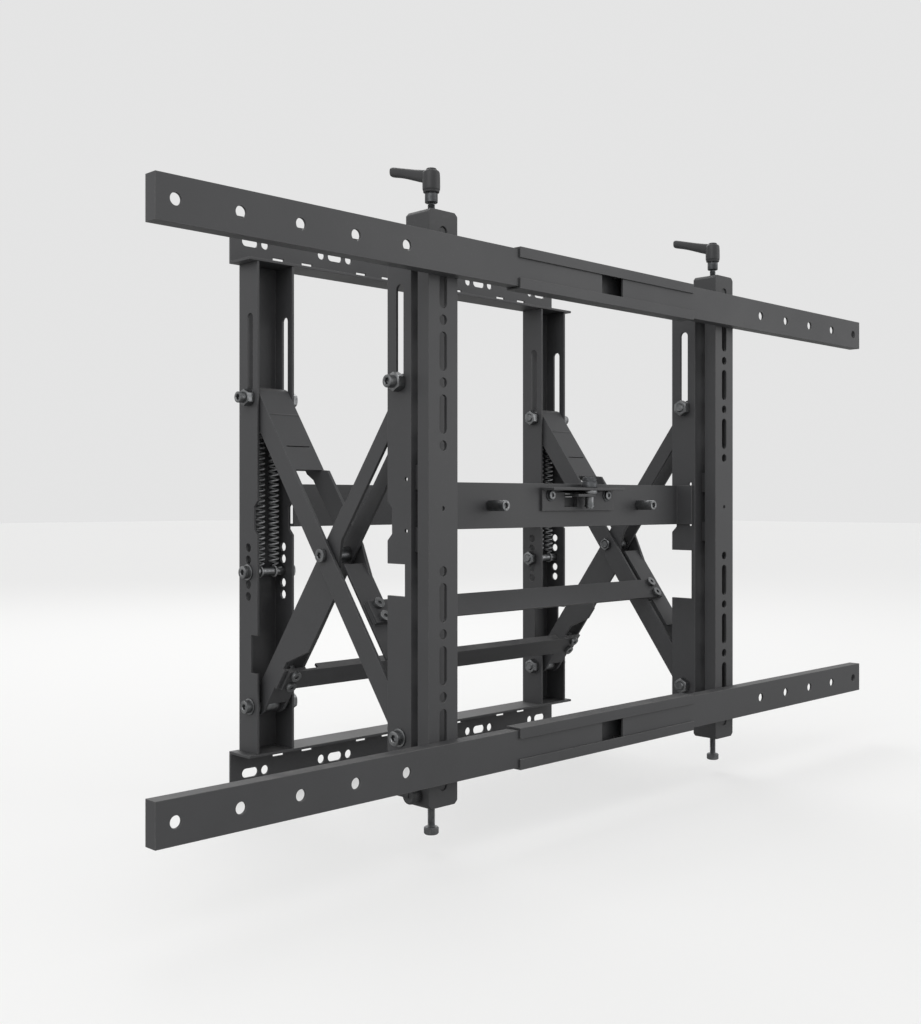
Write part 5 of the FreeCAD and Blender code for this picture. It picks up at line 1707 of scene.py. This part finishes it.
@dataclass
class Trim:
    """Small pieces that the sheet carries: the arms' ribs, the plugs in the blocks and a black plate of
    painted shade behind the latch's window.

    Attributes:
        shop: Where the pieces go.
        rib_drop: How far a rib lies along its arm from the upper pin.
        rib_radius: The rib's radius.
        rib_stands: How far it stands out of the web.
        plug_radius: A plug's radius.
        plug_sunk: How deep it sits in its block.
        plug_rise: How far its centre lies inside the block's inner end.
        bar_gauge: The crossbar's gauge.
        shade_plate_gap: Room between the crossbar and the shade plate.
        shade_plate_gauge: The shade plate's gauge.
        shade_plate_border: How far the shade plate reaches past the window.
        shade_plate_play: Room above and below the hook in the shade plate's slot.
        shade_plate_play: Room above and below the hook in the guide's slot.
        window: The window's left, right, bottom and top.
    """

    shop: Workshop
    rib_drop: float = 27.0 * MM
    rib_radius: float = 1.2 * MM
    rib_stands: float = 0.55 * MM
    plug_radius: float = 3.85 * MM
    plug_sunk: float = 1.3 * MM
    plug_rise: float = 4.0 * MM
    bar_gauge: float = 2.0 * MM
    shade_plate_gap: float = 0.1 * MM
    shade_plate_gauge: float = 1.2 * MM
    shade_plate_border: float = 3.0 * MM
    shade_plate_play: float = 0.2 * MM
    window: tuple[float, float, float, float] = (-8.7 * MM, 10.0 * MM, 0.5 * MM, 15.5 * MM)

    def ribs(self) -> None:
        """Presses a low rib across the top of each outer arm's web."""
        slides = self.shop.solids("rear_slide_bolts")
        pivots = self.shop.solids("front_pivot_bolts")
        for index, side in enumerate(Side):
            node = f"outer_arm_{side.value}"
            low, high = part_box(node)
            top, foot = slides[index].centre, pivots[index].centre
            along = Vector((0, foot.y - top.y, foot.z - top.z)).normalized()
            outward = Vector((0, along.z, -along.y))
            if outward.y > 0:
                outward.negate()
            mesh = self.shop.frame["nodes"][node].data
            near_top = [corner.co - top for corner in mesh.vertices
                        if -5 * MM < (corner.co - top).dot(along) < 30 * MM]
            face = max(corner.dot(outward) for corner in near_top)
            middle = Vector((0, top.y, top.z)) + along * self.rib_drop + outward * (
                face + self.rib_stands - self.rib_radius)
            shape = Shape()
            ends = (low.x + 0.8 * MM, low.x + 1.8 * MM, high.x - 1.8 * MM, high.x - 0.8 * MM)
            rings = []
            for across, scale in zip(ends, (0.55, 1.0, 1.0, 0.55)):
                ring = []
                for k in range(16):
                    angle = 2 * math.pi * k / 16
                    ring.append(Vector((across, middle.y, middle.z)) + (
                        outward * math.cos(angle) + along * math.sin(angle)) * self.rib_radius * scale)
                rings.append(ring)
            shape.skin(rings, Matrix.Identity(4))
            name = f"outer_arm_rib_{side.value}"
            self.shop.add(name, shape.data("arm_rib", 60.0), self.shop.body(node), CHARCOAL)

    def plugs(self) -> None:
        """Closes the face hole in each head and foot block with a sunk plug."""
        for node, sign in (("head_blocks", 1.0), ("foot_blocks", -1.0)):
            shape = Shape()
            for solid in self.shop.solids(node):
                inner = solid.low.z if sign > 0 else solid.high.z
                face = Vector((solid.centre.x, solid.low.y + self.plug_sunk, inner + sign * self.plug_rise))
                shape.turned([(self.plug_radius - 0.4 * MM, 0.0), (self.plug_radius, 0.35 * MM),
                              (self.plug_radius, 2.5 * MM)], Facing.BACK.place(face))
            self.shop.add(f"{node}_plugs", shape.data(f"{node}_plugs"), self.shop.body(node), CAST_COAT)

    def window_shade_plate(self) -> None:
        """Puts a black plate of painted shade behind the crossbar, so that the latch's window shows dark but
        for the slot that the hook moves in.
        """
        low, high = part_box("latch_hook")
        bar_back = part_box("latch_bracket")[1].y + self.bar_gauge + self.shade_plate_gap
        left, right, bottom, top = self.window
        outer = (left - self.shade_plate_border, right + self.shade_plate_border, bottom - self.shade_plate_border,
                 top + self.shade_plate_border)
        slot = (left, right, low.z - self.shade_plate_play, high.z + self.shade_plate_play)

        def ring(bounds: tuple[float, float, float, float], depth: float) -> list[Vector]:
            """Lays the four corners of an upright rectangle.

            Args:
                bounds: Its left, right, bottom and top.
                depth: Where it lies along Y.

            Returns:
                The corners in order.
            """
            x0, x1, z0, z1 = bounds
            return [Vector((x0, depth, z0)), Vector((x1, depth, z0)), Vector((x1, depth, z1)),
                    Vector((x0, depth, z1))]

        back = bar_back + self.shade_plate_gauge
        shape = Shape()
        shape.skin([ring(outer, bar_back), ring(outer, back), ring(slot, back), ring(slot, bar_back)],
                   Matrix.Identity(4), closed=True)
        # Painted shade: the black plate makes the latch's window read dark.
        self.shop.add("latch_window_shade_plate", shape.data("latch_window_shade_plate"), self.shop.body("latch_bracket"), PLASTIC)

    def build(self) -> int:
        """Adds the trim, which stands for no node.

        Returns:
            How many nodes it replaced.
        """
        self.ribs()
        self.plugs()
        self.window_shade_plate()
        return 0


# Studio.


@dataclass(frozen=True)
class SoftLamp:
    """A square soft lamp: where it hangs, what it points at, its width and its power."""

    name: str
    place: Point
    aim: Point
    size: float
    power: float

    def hang(self) -> None:
        """Puts the lamp into the scene."""
        light = bpy.data.lights.new(self.name, "AREA")
        light.size = self.size
        light.energy = self.power
        lamp = bpy.data.objects.new(self.name, light)
        lamp.location = self.place
        lamp.rotation_euler = (Vector(self.aim) - Vector(self.place)).to_track_quat("-Z", "Y").to_euler()
        bpy.context.scene.collection.objects.link(lamp)


@dataclass
class Studio:
    """The floor, the soft light and the camera.

    Attributes:
        lamps: The soft lamps.
        floor_half: Half the floor's width.
        floor_gap: Room between the floor and the lowest point.
        floor_colour: The floor's colour.
        floor_clouds: How much lighter its lightest clouds are.
        cloud_scale: How fine the clouds are.
        cloud_detail: How many finer layers they have.
        floor_roughness: How matte it is.
        floor_glow: What the floor adds of its own towards the camera, which lights nothing.
        sky: Strength of the sky's light.
        backdrop: Strength of the sky that the camera sees.
        camera_place: Where the camera stands.
        heading: The way it looks.
        lens: Its focal length in millimetres.
        shift: How far the picture is moved sideways and up, as a share of its longer side.
    """

    lamps: tuple[SoftLamp, ...] = (
        SoftLamp("key", (-2.2, -0.8, 1.3), (0.0, -0.15, 0.0), 1.6, 15.5),
        SoftLamp("fill", (1.6, -2.2, 0.5), (0.0, -0.2, 0.0), 1.8, 12.0),
        SoftLamp("rim", (0.8, 1.4, 1.6), (0.0, -0.1, 0.1), 1.4, 16.0))
    floor_half: float = 14.0
    floor_gap: float = 0.5 * MM
    floor_colour: Colour = (0.38, 0.38, 0.375)
    floor_clouds: float = 1.03
    cloud_scale: float = 3.0
    cloud_detail: float = 4.0
    floor_roughness: float = 0.85
    floor_glow: float = 0.49
    sky: float = 0.76
    backdrop: float = 0.78
    camera_place: Point = (-0.8654, -0.9525, 0.006)
    heading: Point = (0.7029, 0.7111, 0.0)
    lens: float = 42.5
    shift: tuple[float, float] = (0.0, -0.0107)

    def floor(self) -> None:
        """Lays a wide pale floor under the lowest point."""
        low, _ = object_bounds()
        mesh = bmesh.new()
        bmesh.ops.create_grid(mesh, x_segments=8, y_segments=8, size=self.floor_half)
        data = bpy.data.meshes.new("floor")
        mesh.to_mesh(data)
        mesh.free()
        ground = bpy.data.objects.new("floor", data)
        ground.location = (0.0, 0.0, low[2] - self.floor_gap)
        bpy.context.scene.collection.objects.link(ground)
        material = bpy.data.materials.new("pale_floor")
        material.use_nodes = True
        tree = material.node_tree
        shader = tree.nodes["Principled BSDF"]
        shader.inputs["Roughness"].default_value = self.floor_roughness
        noise = add_node(tree, "ShaderNodeTexNoise")
        noise.inputs["Scale"].default_value = self.cloud_scale
        noise.inputs["Detail"].default_value = self.cloud_detail
        tone = add_node(tree, "ShaderNodeMix", data_type="RGBA")
        tone.inputs[6].default_value = (*self.floor_colour, 1.0)
        tone.inputs[7].default_value = (*(c * self.floor_clouds for c in self.floor_colour), 1.0)
        tree.links.new(noise.outputs["Fac"], tone.inputs["Factor"])
        tree.links.new(tone.outputs[2], shader.inputs["Base Color"])
        shader.inputs["Emission Color"].default_value = (1.0, 1.0, 1.0, 1.0)
        path = add_node(tree, "ShaderNodeLightPath")
        seen = add_node(tree, "ShaderNodeMath", operation="MULTIPLY")
        seen.inputs[1].default_value = self.floor_glow
        tree.links.new(path.outputs["Is Camera Ray"], seen.inputs[0])
        tree.links.new(seen.outputs[0], shader.inputs["Emission Strength"])
        data.materials.append(material)
        ground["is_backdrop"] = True

    def light(self) -> None:
        """Sets the even sky and the three soft lamps."""
        world = bpy.data.worlds.new("studio_sky")
        bpy.context.scene.world = world
        world.use_nodes = True
        tree = world.node_tree
        background = tree.nodes["Background"]
        background.inputs["Color"].default_value = (1.0, 1.0, 1.0, 1.0)
        path = add_node(tree, "ShaderNodeLightPath")
        level = add_node(tree, "ShaderNodeMapRange")
        level.inputs["To Min"].default_value = self.sky
        level.inputs["To Max"].default_value = self.backdrop
        seen = add_node(tree, "ShaderNodeMath", operation="MAXIMUM")
        tree.links.new(path.outputs["Is Camera Ray"], seen.inputs[0])
        tree.links.new(path.outputs["Is Transmission Ray"], seen.inputs[1])
        tree.links.new(seen.outputs[0], level.inputs["Value"])
        tree.links.new(level.outputs["Result"], background.inputs["Strength"])
        for lamp in self.lamps:
            lamp.hang()

    def camera(self) -> None:
        """Sets the camera level, at the corner that faces the left end of the rails."""
        data = bpy.data.cameras.new("camera")
        data.lens = self.lens
        data.sensor_width = 36.0
        data.shift_x, data.shift_y = self.shift
        data.clip_start = 0.01
        camera = bpy.data.objects.new("camera", data)
        camera.location = self.camera_place
        camera.rotation_euler = Vector(self.heading).to_track_quat("-Z", "Y").to_euler()
        bpy.context.scene.collection.objects.link(camera)
        bpy.context.scene.camera = camera

    def build(self) -> int:
        """Sets the whole studio.

        Returns:
            How many lamps it hangs.
        """
        self.camera()
        self.floor()
        self.light()
        bpy.context.scene.view_settings.view_transform = "Standard"
        return len(self.lamps)


def main() -> None:
    """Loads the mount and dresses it."""
    logging.basicConfig(level=logging.INFO, format="%(name)s: %(message)s")
    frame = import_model()
    studio = Studio()
    LOG.info("studio: %d lamps", studio.build())
    shop = Workshop(frame)
    for piece in (SheetMetal(shop), Castings(shop), Trim(shop), PinSets(shop), Screws(shop), Springs(shop),
                  Controls(shop)):
        LOG.info("%s: %d nodes", type(piece).__name__, piece.build())


if __name__ == "__main__":
    main()
